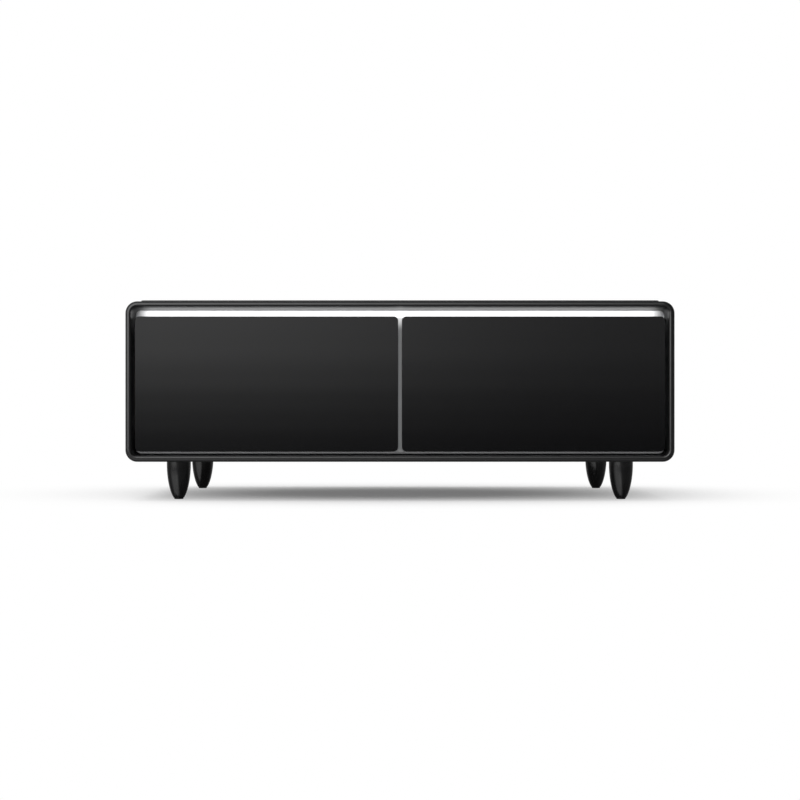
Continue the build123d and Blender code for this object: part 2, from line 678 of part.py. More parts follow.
def right_front_brackets():
    """Two channels that join the bin's front wall to the door panel."""
    w = BRACKET_WALL
    low = BIN_LOW + BRACKET_MARGIN
    high = BIN_HIGH - BRACKET_MARGIN
    pair = []
    for x in (BIN_NEAR + BRACKET_INSET, BIN_FAR - BRACKET_INSET):
        channel = block(x - BRACKET_WIDTH / 2, x + BRACKET_WIDTH / 2, GASKET_Y, BIN_Y, low, high)
        channel -= block(x - BRACKET_WIDTH / 2 + w, x + BRACKET_WIDTH / 2 - w,
                         GASKET_Y - OVERRUN, BIN_Y - w, low - OVERRUN, high + OVERRUN)
        pair.append(channel)
    return pair[0] + pair[1]


def channel_points(web, reach, half, lip):
    """Corners of a C section: u runs away from the liner wall, v up; the lips turn inwards."""
    t = SLIDE_WALL
    upper = [(web, half), (reach, half), (reach, half - lip - t), (reach - t, half - lip - t),
             (reach - t, half - t), (web + t, half - t)]
    return upper + [(u, -v) for u, v in reversed(upper)]


def slide_sections():
    """Corner points of the outer, middle and inner members, each caught inside the last."""
    t = SLIDE_WALL
    g = SLIDE_GAP
    half_outer = SLIDE_HEIGHT / 2
    half_middle = half_outer - t - g
    reach_middle = OUTER_REACH - t - g
    outer = channel_points(0, OUTER_REACH, half_outer, SLIDE_LIP)
    middle = channel_points(t + g, reach_middle, half_middle, SLIDE_LIP)
    mouth = half_middle - t - SLIDE_LIP - g
    catch = half_middle - t - g
    start = 2 * (t + g)
    upper = [(SLIDE_WIDTH, mouth), (start + t, mouth), (start + t, catch), (start, catch),
             (start, mouth - t), (SLIDE_WIDTH - t, mouth - t)]
    inner = upper + [(u, -v) for u, v in reversed(upper)]
    return outer, middle, inner


def right_slide(member):
    """One member (0 outer, 1 middle, 2 inner) of both slides of the right drawer."""
    section = slide_sections()[member]
    pair = []
    for wall, side in ((LINER_NEAR, 1), (LINER_FAR, -1)):
        points = [(wall + side * u, 0, SLIDE_Z + v) for u, v in section]
        pair.append(profile(points, (0, BIN_Y, 0), SLIDE_BACK - BIN_Y, (0, 1, 0)))
    return pair[0] + pair[1]


def bulkhead():
    """Sheet between the foam and the machine compartment."""
    sheet = inner_plate(FIT, BULKHEAD_Y, BULKHEAD_Y + BULKHEAD)
    return sheet - block(-WIDTH, WIDTH, BULKHEAD_Y - OVERRUN, BULKHEAD_Y + BULKHEAD + OVERRUN,
                         DECK_LOW, BODY_TOP)


def machine_tray():
    """Steel tray that carries the compressor, the condenser and the fan."""
    x0 = CONDENSER_X - CONDENSER_WIDTH / 2 - TRAY_SIDE
    x1 = COMPRESSOR_X + FOOT_LENGTH / 2 + TRAY_SIDE
    y0 = BULKHEAD_Y + BULKHEAD + TRAY_MARGIN
    y1 = RETURN_Y - TRAY_MARGIN
    t = TRAY_WALL
    tray = block(x0, x1, y0, y1, INNER_BOTTOM, INNER_BOTTOM + TRAY_RIM)
    return tray - block(x0 + t, x1 - t, y0 + t, y1 - t, TRAY_FLOOR, INNER_BOTTOM + TRAY_RIM + OVERRUN)


def mount_places():
    """Centres of the compressor's four rubber mounts."""
    dx = FOOT_LENGTH / 2 - MOUNT_INSET
    dy = FOOT_DEPTH / 2 - MOUNT_INSET
    return [(COMPRESSOR_X + sx * dx, MACHINE_Y + sy * dy) for sx in (-1, 1) for sy in (-1, 1)]


def compressor_mounts():
    """Rubber mounts under the compressor's foot plate."""
    mounts = [rod_z(MOUNT_RADIUS, x, y, TRAY_FLOOR, FOOT_LOW) for x, y in mount_places()]
    return Part() + mounts


def oval(grow, z):
    """Oval of the compressor's pot at height z, made larger all round."""
    points = []
    for i in range(LEG_SIDES):
        angle = 2 * pi * i / LEG_SIDES
        points.append(((COMPRESSOR_WIDTH / 2 + grow) * cos(angle),
                       (COMPRESSOR_DEPTH / 2 + grow) * sin(angle)))
    return Pos(COMPRESSOR_X, MACHINE_Y, z) * make_face(Polyline(*points, close=True))


def compressor():
    """Domed steel housing with its seam, foot plate and ports."""
    foot = block(COMPRESSOR_X - FOOT_LENGTH / 2, COMPRESSOR_X + FOOT_LENGTH / 2,
                 MACHINE_Y - FOOT_DEPTH / 2, MACHINE_Y + FOOT_DEPTH / 2, FOOT_LOW, COMPRESSOR_LOW)
    side = COMPRESSOR_HEIGHT - COMPRESSOR_DOME - COMPRESSOR_CROWN
    pot = extrude(oval(0, COMPRESSOR_LOW), amount=side)
    pot += extrude(oval(0, COMPRESSOR_LOW + side), amount=COMPRESSOR_DOME, taper=DOME_TAPER)
    shrink = COMPRESSOR_DOME * tan(radians(DOME_TAPER))
    crown = offset(oval(0, COMPRESSOR_LOW + side + COMPRESSOR_DOME), -shrink)
    pot += extrude(crown, amount=COMPRESSOR_CROWN, taper=CROWN_TAPER)
    seam = extrude(oval(COMPRESSOR_SEAM, COMPRESSOR_LOW + side / 2), COMPRESSOR_SEAM_HEIGHT)
    return foot + pot + seam + compressor_ports()


def compressor_ports():
    """Discharge and suction stubs on the side that faces the fan."""
    inside = (COMPRESSOR_END + COMPRESSOR_X) / 2
    stubs = []
    for side in (-1, 1):
        y = MACHINE_Y + side * PORT_SPREAD
        stubs.append(rod_x(PORT_RADIUS, PORT_X, inside, y, PORT_Z))
    return stubs[0] + stubs[1]


def terminal_box():
    """Plastic box with the compressor's relay, on its outer end."""
    x0 = COMPRESSOR_X + COMPRESSOR_WIDTH / 2 + COMPRESSOR_SEAM + FIT
    z0 = COMPRESSOR_LOW + TERMINAL_RISE
    box = block(x0, x0 + TERMINAL_WIDTH, MACHINE_Y - TERMINAL_DEPTH / 2,
                MACHINE_Y + TERMINAL_DEPTH / 2, z0, z0 + TERMINAL_HEIGHT)
    return chamfer(box.edges().filter_by(Axis.Y).group_by(Axis.X)[-1], TERMINAL_CHAMFER)


def drip_tray():
    """Tray on the bulkhead above the compressor, where the defrost water dries off."""
    y0 = BULKHEAD_Y + BULKHEAD
    z0 = COMPRESSOR_LOW + COMPRESSOR_HEIGHT + DRIP_RISE
    x0 = COMPRESSOR_X - DRIP_WIDTH / 2
    w = DRIP_WALL
    tray = block(x0, x0 + DRIP_WIDTH, y0, y0 + DRIP_DEPTH, z0, z0 + DRIP_HEIGHT)
    return tray - block(x0 + w, x0 + DRIP_WIDTH - w, y0 + w, y0 + DRIP_DEPTH - w,
                        z0 + w, z0 + DRIP_HEIGHT + OVERRUN)


def condenser():
    """Finned condenser: upright fins between a lower and an upper plate, on a core."""
    x0 = CONDENSER_X - CONDENSER_WIDTH / 2
    x1 = CONDENSER_X + CONDENSER_WIDTH / 2
    y0 = MACHINE_Y - CONDENSER_DEPTH / 2
    z0 = TRAY_FLOOR
    z1 = TRAY_FLOOR + CONDENSER_HEIGHT
    core = block(x0, x1, y0, y0 + CONDENSER_DEPTH, z0, z1)
    pitch = (CONDENSER_DEPTH - FIN) / FIN_COUNT
    for i in range(FIN_COUNT):
        y = y0 + i * pitch + FIN
        for x, far in ((x0 - OVERRUN, CONDENSER_X - CONDENSER_CORE / 2),
                       (CONDENSER_X + CONDENSER_CORE / 2, x1 + OVERRUN)):
            core -= block(x, far, y, y + pitch - FIN, z0 + CONDENSER_PLATE, z1 - CONDENSER_PLATE)
    return core


def fan_frame():
    """Square fan frame with four arms, the motor cup and its shaft."""
    half = FAN_SIZE / 2
    x1 = FAN_X + FAN_THICKNESS
    frame = block(FAN_X, x1, MACHINE_Y - half, MACHINE_Y + half, FAN_Z - half, FAN_Z + half)
    frame -= rod_x(FAN_BORE, FAN_X - OVERRUN, x1 + OVERRUN, MACHINE_Y, FAN_Z)
    reach = FAN_BORE + FAN_EDGE / 2
    frame += block(x1 - ARM_THICKNESS, x1, MACHINE_Y - reach, MACHINE_Y + reach,
                   FAN_Z - ARM / 2, FAN_Z + ARM / 2)
    frame += block(x1 - ARM_THICKNESS, x1, MACHINE_Y - ARM / 2, MACHINE_Y + ARM / 2,
                   FAN_Z - reach, FAN_Z + reach)
    frame += rod_x(MOTOR_RADIUS, x1 - MOTOR_LENGTH, x1, MACHINE_Y, FAN_Z)
    return frame + rod_x(SHAFT_RADIUS, x1 - MOTOR_LENGTH - HUB_GAP - HUB_LENGTH, x1 - MOTOR_LENGTH / 2,
                         MACHINE_Y, FAN_Z)


def fan_blade():
    """One pitched blade, drawn along +Z from the hub, with the fan's axis along X."""
    root = HUB_RADIUS - BLADE_SINK
    blade = block(-BLADE_CHORD / 2, BLADE_CHORD / 2, -BLADE / 2, BLADE / 2, root, BLADE_TIP)
    return Rot(0, 0, BLADE_PITCH) * blade


def fan_rotor():
    """Hub with pitched blades, running on the frame's shaft."""
    x1 = FAN_X + FAN_THICKNESS - MOTOR_LENGTH - HUB_GAP
    x0 = x1 - HUB_LENGTH
    rotor = rod_x(HUB_RADIUS, x0, x1, MACHINE_Y, FAN_Z)
    blade = fan_blade()
    for i in range(BLADE_COUNT):
        turned = Rot(360 / BLADE_COUNT * i, 0, 0) * blade
        rotor += Pos((x0 + x1) / 2, MACHINE_Y, FAN_Z) * turned
    return rotor - rod_x(bore(SHAFT_RADIUS + SHAFT_FIT), x0 - OVERRUN, x1 + OVERRUN, MACHINE_Y, FAN_Z)


def drier_place():
    """Left end of the filter drier, and its centre line."""
    x = CONDENSER_X - CONDENSER_WIDTH / 2 - DRIER_GAP - DRIER_LENGTH
    return x, MACHINE_Y, TRAY_FLOOR + DRIER_RISE


def filter_drier():
    """Filter drier: a cylinder along X that narrows to the tubes at both ends."""
    x, y, z = drier_place()
    low = x + DRIER_CONE
    high = x + DRIER_LENGTH - DRIER_CONE
    body = rod_x(DRIER_RADIUS, low, high, y, z)
    for at, turn in ((low, -90), (high, 90)):
        end = cone(DRIER_RADIUS, TUBE_RADIUS, DRIER_CONE, ROUND_SIDES)
        body += Pos(at, y, z) * Rot(0, turn, 0) * end
    return body


def tube(points):
    """Tube along straight runs joined by bends."""
    path = FilletPolyline(*points, radius=TUBE_BEND)
    start = Plane(origin=path @ 0, z_dir=path % 0)
    return sweep(start * RegularPolygon(TUBE_RADIUS, HEXAGON), path=path)


def refrigerant_lines():
    """Discharge line over the fan, suction line and capillary into the foam, and a short link."""
    top = TRAY_FLOOR + CONDENSER_HEIGHT
    over = top + 2 * TUBE_BEND
    riser = PORT_X - 2 * TUBE_BEND
    front = MACHINE_Y - PORT_SPREAD
    rear = MACHINE_Y + PORT_SPREAD
    wall = BULKHEAD_Y + BULKHEAD
    x, y, z = drier_place()
    discharge = tube([(PORT_X, rear, PORT_Z), (riser, rear, PORT_Z), (riser, rear, over),
                      (CONDENSER_X, rear, over), (CONDENSER_X, rear, top)])
    suction = tube([(PORT_X, front, PORT_Z), (riser, front, PORT_Z), (riser, wall, PORT_Z)])
    capillary = tube([(x, y, z), (x - 2 * TUBE_BEND, y, z), (x - 2 * TUBE_BEND, wall, z)])
    link = rod_x(TUBE_RADIUS, x + DRIER_LENGTH, x + DRIER_LENGTH + DRIER_GAP, y, z)
    return Part() + [discharge, suction, capillary, link]


def inlet_hole():
    """Edges of the inlet's cut-out in the rear panel."""
    x = INLET_WIDTH / 2
    z = INLET_HEIGHT / 2
    return INLET_X - x, INLET_X + x, INLET_Z - z, INLET_Z + z


def vent_slots():
    """Louvre slots in front of the condenser and behind the compressor."""
    slots = []
    for x in (CONDENSER_X, COMPRESSOR_X):
        for i in range(VENT_COUNT):
            z = INNER_BOTTOM + VENT_RISE + i * VENT_PITCH
            slots.append(block(x - VENT_LENGTH / 2, x + VENT_LENGTH / 2, REAR_Y - OVERRUN,
                               REAR_Y + REAR_PANEL + OVERRUN, z, z + VENT_HEIGHT))
    return slots


def rear_panel():
    """Rear sheet with louvre slots and the inlet's cut-out."""
    sheet = inner_plate(FIT, REAR_Y, REAR_Y + REAR_PANEL)
    for slot in vent_slots():
        sheet -= slot
    x0, x1, z0, z1 = inlet_hole()
    return sheet - block(x0, x1, REAR_Y - OVERRUN, REAR_Y + REAR_PANEL + OVERRUN, z0, z1)


def rear_screws():
    """Hexagon-head screws along the upper and lower edges of the rear panel."""
    y = REAR_Y + REAR_PANEL
    reach = INNER_X - CORNER_RADIUS
    screws = []
    for i in range(SCREW_COLUMNS):
        x = -reach + 2 * reach * i / (SCREW_COLUMNS - 1)
        for z in (INNER_BOTTOM + RETURN_WIDTH / 2, INNER_TOP - RETURN_WIDTH / 2):
            head = Pos(x, y, z) * Rot(90, 0, 0) * RegularPolygon(SCREW_RADIUS, HEXAGON)
            screws.append(extrude(head, amount=SCREW_HEAD, dir=(0, 1, 0)))
    return Part() + screws


def mains_inlet():
    """Mains inlet: flanged socket through the rear panel, with its three pins."""
    x0, x1, z0, z1 = inlet_hole()
    f = INLET_FLANGE
    g = INLET_FIT
    w = INLET_WALL
    y = REAR_Y + REAR_PANEL
    out = y + INLET_FLANGE_THICKNESS
    body = block(x0 + g, x1 - g, out - INLET_DEPTH, out, z0 + g, z1 - g)
    body += block(x0 - f, x1 + f, y, out, z0 - f, z1 + f)
    body -= block(x0 + g + w, x1 - g - w, out - INLET_DEPTH + w, out + OVERRUN, z0 + g + w, z1 - g - w)
    floor = out - INLET_DEPTH + w
    for step, drop in ((-1, 1), (0, -1), (1, 1)):
        x = INLET_X + step * PIN_PITCH
        z = INLET_Z - drop * PIN_DROP / 2
        body += block(x - PIN_WIDTH / 2, x + PIN_WIDTH / 2, floor - w / 2, floor + PIN_LENGTH,
                      z - PIN_HEIGHT / 2, z + PIN_HEIGHT / 2)
    return body


def control_box():
    """Outer edges of the control board's tray on the foam."""
    x = CONTROL_WIDTH / 2
    y = CONTROL_DEPTH / 2
    return CONTROL_X - x, CONTROL_X + x, CONTROL_Y - y, CONTROL_Y + y


def control_tray():
    """Plastic tray of the main board, with two ledges under it."""
    x0, x1, y0, y1 = control_box()
    w = CONTROL_TRAY_WALL
    tray = block(x0, x1, y0, y1, FOAM_TOP, FOAM_TOP + CONTROL_TRAY_HEIGHT)
    tray -= block(x0 + w, x1 - w, y0 + w, y1 - w, FOAM_TOP + w, FOAM_TOP + CONTROL_TRAY_HEIGHT + OVERRUN)
    for y in (y0 + w, y1 - w - CONTROL_STANDOFF):
        tray += block(x0 + w, x1 - w, y, y + CONTROL_STANDOFF, FOAM_TOP + w / 2,
                      FOAM_TOP + w + CONTROL_STANDOFF)
    return tray


def control_board():
    """Main board with relays and a capacitor."""
    x0, x1, y0, y1 = control_box()
    m = CONTROL_TRAY_WALL + FIT
    z = FOAM_TOP + CONTROL_TRAY_WALL + CONTROL_STANDOFF
    board = block(x0 + m, x1 - m, y0 + m, y1 - m, z, z + BOARD)
    for i in range(RELAY_COUNT):
        x = x0 + RELAY + i * RELAY_PITCH
        board += block(x, x + RELAY, y0 + RELAY, y0 + 2 * RELAY, z + BOARD / 2, z + BOARD + RELAY_HEIGHT)
    return board + rod_z(CAPACITOR_RADIUS, x1 - 2 * RELAY, CONTROL_Y, z + BOARD / 2,
                         z + BOARD + CAPACITOR_HEIGHT)


def leg(x, y):
    """Bullet-shaped leg: straight shoulder, sides along a quarter ellipse, flat foot, stud hole."""
    shoulder = LEG_HEIGHT - LEG_SHOULDER
    body = extrude(Pos(x, y, shoulder) * RegularPolygon(LEG_RADIUS, LEG_SIDES), amount=LEG_SHOULDER)
    ellipse_share = (1 - (LEG_FOOT / LEG_RADIUS) ** 2) ** 0.5
    stations = []
    for share in LEG_SHARES:
        wide = LEG_RADIUS * (1 - (share * ellipse_share) ** 2) ** 0.5
        stations.append((share * LEG_TAPERED, wide))
    for (high, wide), (low, narrow) in zip(stations[:-1], stations[1:]):
        body += Pos(x, y, shoulder - high) * Rot(180, 0, 0) * cone(wide, narrow, low - high, LEG_SIDES)
    return body - rod_z(bore(STUD_RADIUS + STUD_FIT), x, y, LEG_HEIGHT - STUD_DEPTH, LEG_HEIGHT + OVERRUN)


def foot_pads():
    """Thin felt pads under the legs."""
    pads = [rod_z(PAD_RADIUS, x, y, 0, PAD) for x, y in leg_places()]
    return Part() + pads


def leg_plates():
    """Steel plates inside the floor, with the threaded bosses for the legs."""
    plates = []
    for x, y in leg_places():
        item = block(x - LEG_PLATE_WIDTH / 2, x + LEG_PLATE_WIDTH / 2, y - LEG_PLATE_DEPTH / 2,
                     y + LEG_PLATE_DEPTH / 2, INNER_BOTTOM, INNER_BOTTOM + LEG_PLATE)
        item += rod_z(BOSS_RADIUS, x, y, INNER_BOTTOM + LEG_PLATE / 2, BOSS_TOP)
        plates.append(item - rod_z(bore(STUD_RADIUS + STUD_FIT), x, y, BODY_BOTTOM, BOSS_TOP + OVERRUN))
    return Part() + plates


def leg_plate_space(x, y):
    """Room for one leg plate and its boss in the foam."""
    a = LEG_PLATE_WIDTH / 2 + FIT
    b = LEG_PLATE_DEPTH / 2 + FIT
    room = block(x - a, x + a, y - b, y + b, BODY_BOTTOM, INNER_BOTTOM + LEG_PLATE)
    return room + rod_z(BOSS_RADIUS + BOSS_CLEAR, x, y, INNER_BOTTOM, BOSS_TOP + FIT)


def leg_studs():
    """Threaded studs that join the legs to their plates."""
    low = LEG_HEIGHT - STUD_DEPTH
    studs = [rod_z(STUD_RADIUS, x, y, low, BOSS_TOP) for x, y in leg_places()]
    return Part() + studs


def both(name, shape, nodes):
    """Adds the right-hand piece and its mirror image on the left."""
    nodes["right_" + name] = shape
    nodes["left_" + name] = mirror(shape, about=Plane.YZ)


def build():
    """All nodes of the part, by name."""
    nodes = {
        "outer_shell": outer_shell(),
        "front_bezel": front_bezel(),
        "top_glass": top_glass(),
        "top_tape": top_tape(),
        "top_deck": top_deck(),
        "touch_board": touch_board(),
        "light_channel": light_channel(),
        "light_diffuser": light_diffuser(),
        "light_strip": light_strip(),
        "face_plate": face_plate(),
        "front_trim": front_trim(),
        "insulation_foam": insulation_foam(),
        "evaporators": evaporators(),
        "compartment_lamps": compartment_lamps(),
        "temperature_sensors": temperature_sensors(),
        "bulkhead": bulkhead(),
        "machine_tray": machine_tray(),
        "compressor": compressor(),
        "compressor_mounts": compressor_mounts(),
        "terminal_box": terminal_box(),
        "drip_tray": drip_tray(),
        "condenser": condenser(),
        "fan_frame": fan_frame(),
        "fan_rotor": fan_rotor(),
        "filter_drier": filter_drier(),
        "refrigerant_lines": refrigerant_lines(),
        "rear_panel": rear_panel(),
        "rear_screws": rear_screws(),
        "mains_inlet": mains_inlet(),
        "control_tray": control_tray(),
        "control_board": control_board(),
        "leg_plates": leg_plates(),
        "leg_studs": leg_studs(),
        "foot_pads": foot_pads(),
    }
    both("liner", right_liner(), nodes)
    both("front_glass", right_front_glass(), nodes)
    both("door_panel", right_door_panel(), nodes)
    both("door_foam", right_door_foam(), nodes)
    both("grip_rail", right_grip_rail(), nodes)
    both("gasket", right_gasket(), nodes)
    both("bin", right_bin(), nodes)
    both("front_brackets", right_front_brackets(), nodes)
    for member, name in enumerate(("slide_outer", "slide_middle", "slide_inner")):
        both(name, right_slide(member), nodes)
    names = ("left_rear_leg", "left_front_leg", "right_rear_leg", "right_front_leg")
    order = [(-LEG_X, LEG_Y), (-LEG_X, -LEG_Y), (LEG_X, LEG_Y), (LEG_X, -LEG_Y)]
    for name, (x, y) in zip(names, order):
        nodes[name] = leg(x, y)
    return nodes


def main():
    """Writes each node to its own file."""
    os.makedirs("parts", exist_ok=True)
    for name, shape in build().items():
        export_step(shape, os.path.join("parts", name + ".step"))


main()
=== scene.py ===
# %% [markdown]
# # A refrigerator coffee table
# The table is a low black cabinet on four bullet-shaped legs. Two refrigerated drawers have
# flush glass fronts, a lit band runs above them, and a thin black glass forms the top.
# This lesson gives each piece of the table its real surface and finish.
#
# The construction is already measured and fixed: it comes in as a frame of named nodes. A node
# with flat faces keeps its place and gets a finish. A node with rounded forms is replaced by a
# smooth surface that is worked out here, from the node's own box and a few named sizes.

import json
from math import radians

import bmesh
import bpy
import numpy as np
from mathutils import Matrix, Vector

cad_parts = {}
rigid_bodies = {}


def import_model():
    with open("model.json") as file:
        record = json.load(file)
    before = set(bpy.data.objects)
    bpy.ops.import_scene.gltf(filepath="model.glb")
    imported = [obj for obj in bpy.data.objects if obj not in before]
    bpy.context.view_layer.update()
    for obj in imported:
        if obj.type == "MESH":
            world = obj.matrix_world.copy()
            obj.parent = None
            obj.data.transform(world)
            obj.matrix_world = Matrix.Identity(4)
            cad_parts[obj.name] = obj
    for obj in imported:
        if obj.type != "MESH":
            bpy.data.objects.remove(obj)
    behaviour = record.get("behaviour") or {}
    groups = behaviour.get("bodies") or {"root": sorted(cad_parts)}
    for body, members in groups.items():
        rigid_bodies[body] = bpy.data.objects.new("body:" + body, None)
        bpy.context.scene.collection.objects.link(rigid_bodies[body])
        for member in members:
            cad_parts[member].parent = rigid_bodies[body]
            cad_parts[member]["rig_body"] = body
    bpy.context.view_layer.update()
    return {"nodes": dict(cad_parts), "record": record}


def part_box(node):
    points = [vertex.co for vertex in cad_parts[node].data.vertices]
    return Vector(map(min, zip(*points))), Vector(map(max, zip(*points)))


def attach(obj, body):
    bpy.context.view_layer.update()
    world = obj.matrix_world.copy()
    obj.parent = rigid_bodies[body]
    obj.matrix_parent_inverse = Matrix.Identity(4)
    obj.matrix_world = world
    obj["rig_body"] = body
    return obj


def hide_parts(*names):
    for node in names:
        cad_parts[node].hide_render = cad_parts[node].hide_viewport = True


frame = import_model()

# %% [markdown]
# ## Camera
# A product picture of a low table is taken level with the middle of its front, so that the top
# shows as one thin line. A long lens from almost four metres keeps the sides of the cabinet out
# of view. The camera comes first, because every later choice is judged through it.

# %% Place the camera
MM = 0.001
CAMERA_HEIGHT = 239.4 * MM
CAMERA_DISTANCE = 3.689      # metres in front of the drawer side of the cabinet
CAMERA_SIDE = -12 * MM       # a little to the left of the table's middle
LENS, SENSOR = 70.25, 36     # millimetres

front_low, front_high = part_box("front_bezel")
camera = bpy.data.objects.new("camera", bpy.data.cameras.new("camera"))
bpy.context.scene.collection.objects.link(camera)
camera.location = (CAMERA_SIDE, front_low.y - CAMERA_DISTANCE, CAMERA_HEIGHT)
camera.rotation_euler = (radians(90), 0, 0)
camera.data.lens = LENS
camera.data.sensor_width = SENSOR
camera.data.shift_x = -CAMERA_SIDE * LENS / SENSOR / CAMERA_DISTANCE
bpy.context.scene.camera = camera
bpy.context.scene.view_settings.view_transform = "Standard"
print("camera stands at y =", round(camera.location.y, 3))

# %% [markdown]
# ## A short way to write node trees
# Every finish below is a small tree of shader nodes. One helper adds a node, sets it and links
# its inputs in a single call, so that a finish reads as a list of what flows into what.

# %% Node helpers
def rgb(red, green=None, blue=None):
    """Colour with full alpha; one number alone is a grey."""
    return (red, red if green is None else green, red if blue is None else blue, 1)


def feed(tree, used, inputs):
    """Gives a node its inputs: a socket is linked, any other value is set."""
    for key, value in dict(inputs).items():
        if isinstance(value, bpy.types.NodeSocket):
            tree.links.new(value, used.inputs[key])
        else:
            used.inputs[key].default_value = value


def node(tree, kind, inputs=(), **settings):
    """Adds a shader node, with its settings and its inputs."""
    made = tree.nodes.new("ShaderNode" + kind)
    for key, value in settings.items():
        setattr(made, key, value)
    feed(tree, made, inputs)
    return made


def maths(tree, operation, a, b=0.0, clamp=False):
    """Result of one Math node."""
    return node(tree, "Math", {0: a, 1: b}, operation=operation, use_clamp=clamp).outputs[0]


def ramp(tree, value, low, high, to_low=0.0, to_high=1.0, smooth=False):
    """Value mapped from one range to another and held at its ends."""
    kind = "SMOOTHSTEP" if smooth else "LINEAR"
    inputs = {"Value": value, "From Min": low, "From Max": high, "To Min": to_low,
              "To Max": to_high}
    return node(tree, "MapRange", inputs, interpolation_type=kind).outputs[0]


def separate(tree, vector):
    """The X, Y and Z of a vector."""
    return node(tree, "SeparateXYZ", {0: vector}).outputs


def ray_kinds(tree):
    """Whether a ray sees openly, by eye or through something clear, and whether it is mirrored."""
    path = node(tree, "LightPath").outputs
    seen = maths(tree, "MAXIMUM", path["Is Camera Ray"], path["Is Transmission Ray"])
    return seen, path["Is Glossy Ray"]


def new_group(name, inputs, outputs):
    """Empty shader node group with named sockets; returns it with its input and output nodes."""
    group = bpy.data.node_groups.new(name, "ShaderNodeTree")
    for label, kind, value in inputs:
        socket = group.interface.new_socket(label, in_out="INPUT", socket_type="NodeSocket" + kind)
        if value is not None:
            socket.default_value = value
    for label, kind in outputs:
        group.interface.new_socket(label, in_out="OUTPUT", socket_type="NodeSocket" + kind)
    return group, group.nodes.new("NodeGroupInput"), group.nodes.new("NodeGroupOutput")

# %% [markdown]
# ## The studio
# The picture has a white background that runs into a white floor. The world shows white to the
# camera, and gives even light from all sides. What a shiny black surface mirrors matters more
# here than the lamps. So mirrored rays see a studio of their own: white walls, a grey ceiling,
# a dark side behind the camera, and on that side one large soft light at the upper left. The
# flat glass fronts mirror only its blurred lower corner, which fades within a few degrees. Each
# part of the studio begins and ends at a named value of the view's X, Y or Z.

# %% World: white to the eye, soft light all round, a shaded room behind the camera
EVEN_LIGHT = 0.72
CEILING, CEILING_Z = 0.15, (0.30, 0.75)
DARK_SIDE, DARK_SIDE_Y = 0.10, (0.92, 0.35)
CORNER_Y = (-0.78, -0.94)    # where the corner behind the camera takes over from the dark side
HORIZON = 0.1                # the corner's shade lies between this slope down and up
HORIZON_STEPS = ((-0.040, 0.10), (-0.026, 0.19), (-0.013, 0.32), (0.0, 0.46), (0.013, 0.70),
                 (0.035, 1.00), (0.052, 1.08))      # slope of the view, and brightness there
RIGHT_SHARE = 0.29           # brightness of the corner's right side against its left
ROOM_SIDE = 0.18             # slope at which that difference is full
SOFTBOX = 3.6
SOFTBOX_CORNER = (0.22, 0.50)        # Z less X, across the blurred lower corner
SOFTBOX_X, SOFTBOX_RIGHT = (-0.20, 0.30), 0.12      # its share beyond the second X
SOFTBOX_Y = (0.0, -0.6)

world = bpy.data.worlds.new("studio")
bpy.context.scene.world = world
world.use_nodes = True
tree = world.node_tree
view = separate(tree, node(tree, "TexCoord").outputs["Generated"])
height = node(tree, "ValToRGB", {0: ramp(tree, view["Z"], -HORIZON, HORIZON)})
height.color_ramp.interpolation = "EASE"
stops = height.color_ramp.elements
for i, (slope, brightness) in enumerate(HORIZON_STEPS):
    stop = stops[i] if i < 2 else stops.new(0.99)
    stop.position = (slope + HORIZON) / (2 * HORIZON)
    stop.color = rgb(brightness)
sideways = ramp(tree, view["X"], -ROOM_SIDE, ROOM_SIDE, 1.0, RIGHT_SHARE, smooth=True)
corner = maths(tree, "MULTIPLY", height.outputs[0], sideways)
ceiling = ramp(tree, view["Z"], *CEILING_Z, 1.0, CEILING, smooth=True)
walls = maths(tree, "MULTIPLY", ceiling,
              ramp(tree, view["Y"], *DARK_SIDE_Y, 1.0, DARK_SIDE, smooth=True))
behind = ramp(tree, view["Y"], *CORNER_Y, smooth=True)
room = node(tree, "Mix", {0: behind, 2: walls, 3: corner}).outputs[0]
upper_left = maths(tree, "SUBTRACT", view["Z"], view["X"])
softbox = maths(tree, "MULTIPLY",
                ramp(tree, upper_left, *SOFTBOX_CORNER, 0.0, SOFTBOX, smooth=True),
                ramp(tree, view["X"], *SOFTBOX_X, 1.0, SOFTBOX_RIGHT, smooth=True))
softbox = maths(tree, "MULTIPLY", softbox, ramp(tree, view["Y"], *SOFTBOX_Y, smooth=True))
room = maths(tree, "ADD", room, softbox)
open_view, mirrored = ray_kinds(tree)
lit = node(tree, "Mix", {0: mirrored, 2: EVEN_LIGHT, 3: room}).outputs[0]
seen = node(tree, "Mix", {0: open_view, 2: lit, 3: 1.0}).outputs[0]
feed(tree, tree.nodes["Background"], {"Color": rgb(1), "Strength": seen})
print("world nodes:", len(tree.nodes))

# %% [markdown]
# The floor is white paper on a light table. Under the table it is a real matt surface, so that
# it takes the table's shadow, softened by the little light that comes through from below. Away
# from the table it passes into plain white, which hides its far edge.
#
# A shiny surface would mirror all that white. So near the table most of it is held back from
# mirrored rays, which see a dim image of the floor in its place, and a narrow sheen that passes
# on a little of the studio. That sheen gives the legs their upright highlight.

# %% Floor and lamp
PAPER = rgb(0.98)
FLOOR_NEAR = (0.75, 0.35)    # half axes in metres of an ellipse; distances below are times that
FLOOR_WHITE = (0.30, 1.9)    # distance from the full shadow to plain white
FLOOR_THROUGH = 0.15         # share of light from below
FLOOR_FLAGGED = 0.92         # share of the near floor that mirrored rays don't see
IMAGE_REACH, IMAGE = (1.0, 6.0), (0.07, 0.40)       # distances, and the image's strength there
SHEEN_REACH, SHEEN = (1.5, 2.3), (0.30, 0.03)       # distances, and the sheen's share there
SHEEN_ROUGH = 0.10
FLOOR_REACH, FLOOR_FRONT = 9.0, 3.4                 # metres to the sides and back, to the front
LAMP_POWER, LAMP_SPREAD, LAMP_TILT = 1.05, 50, (-8, -16)


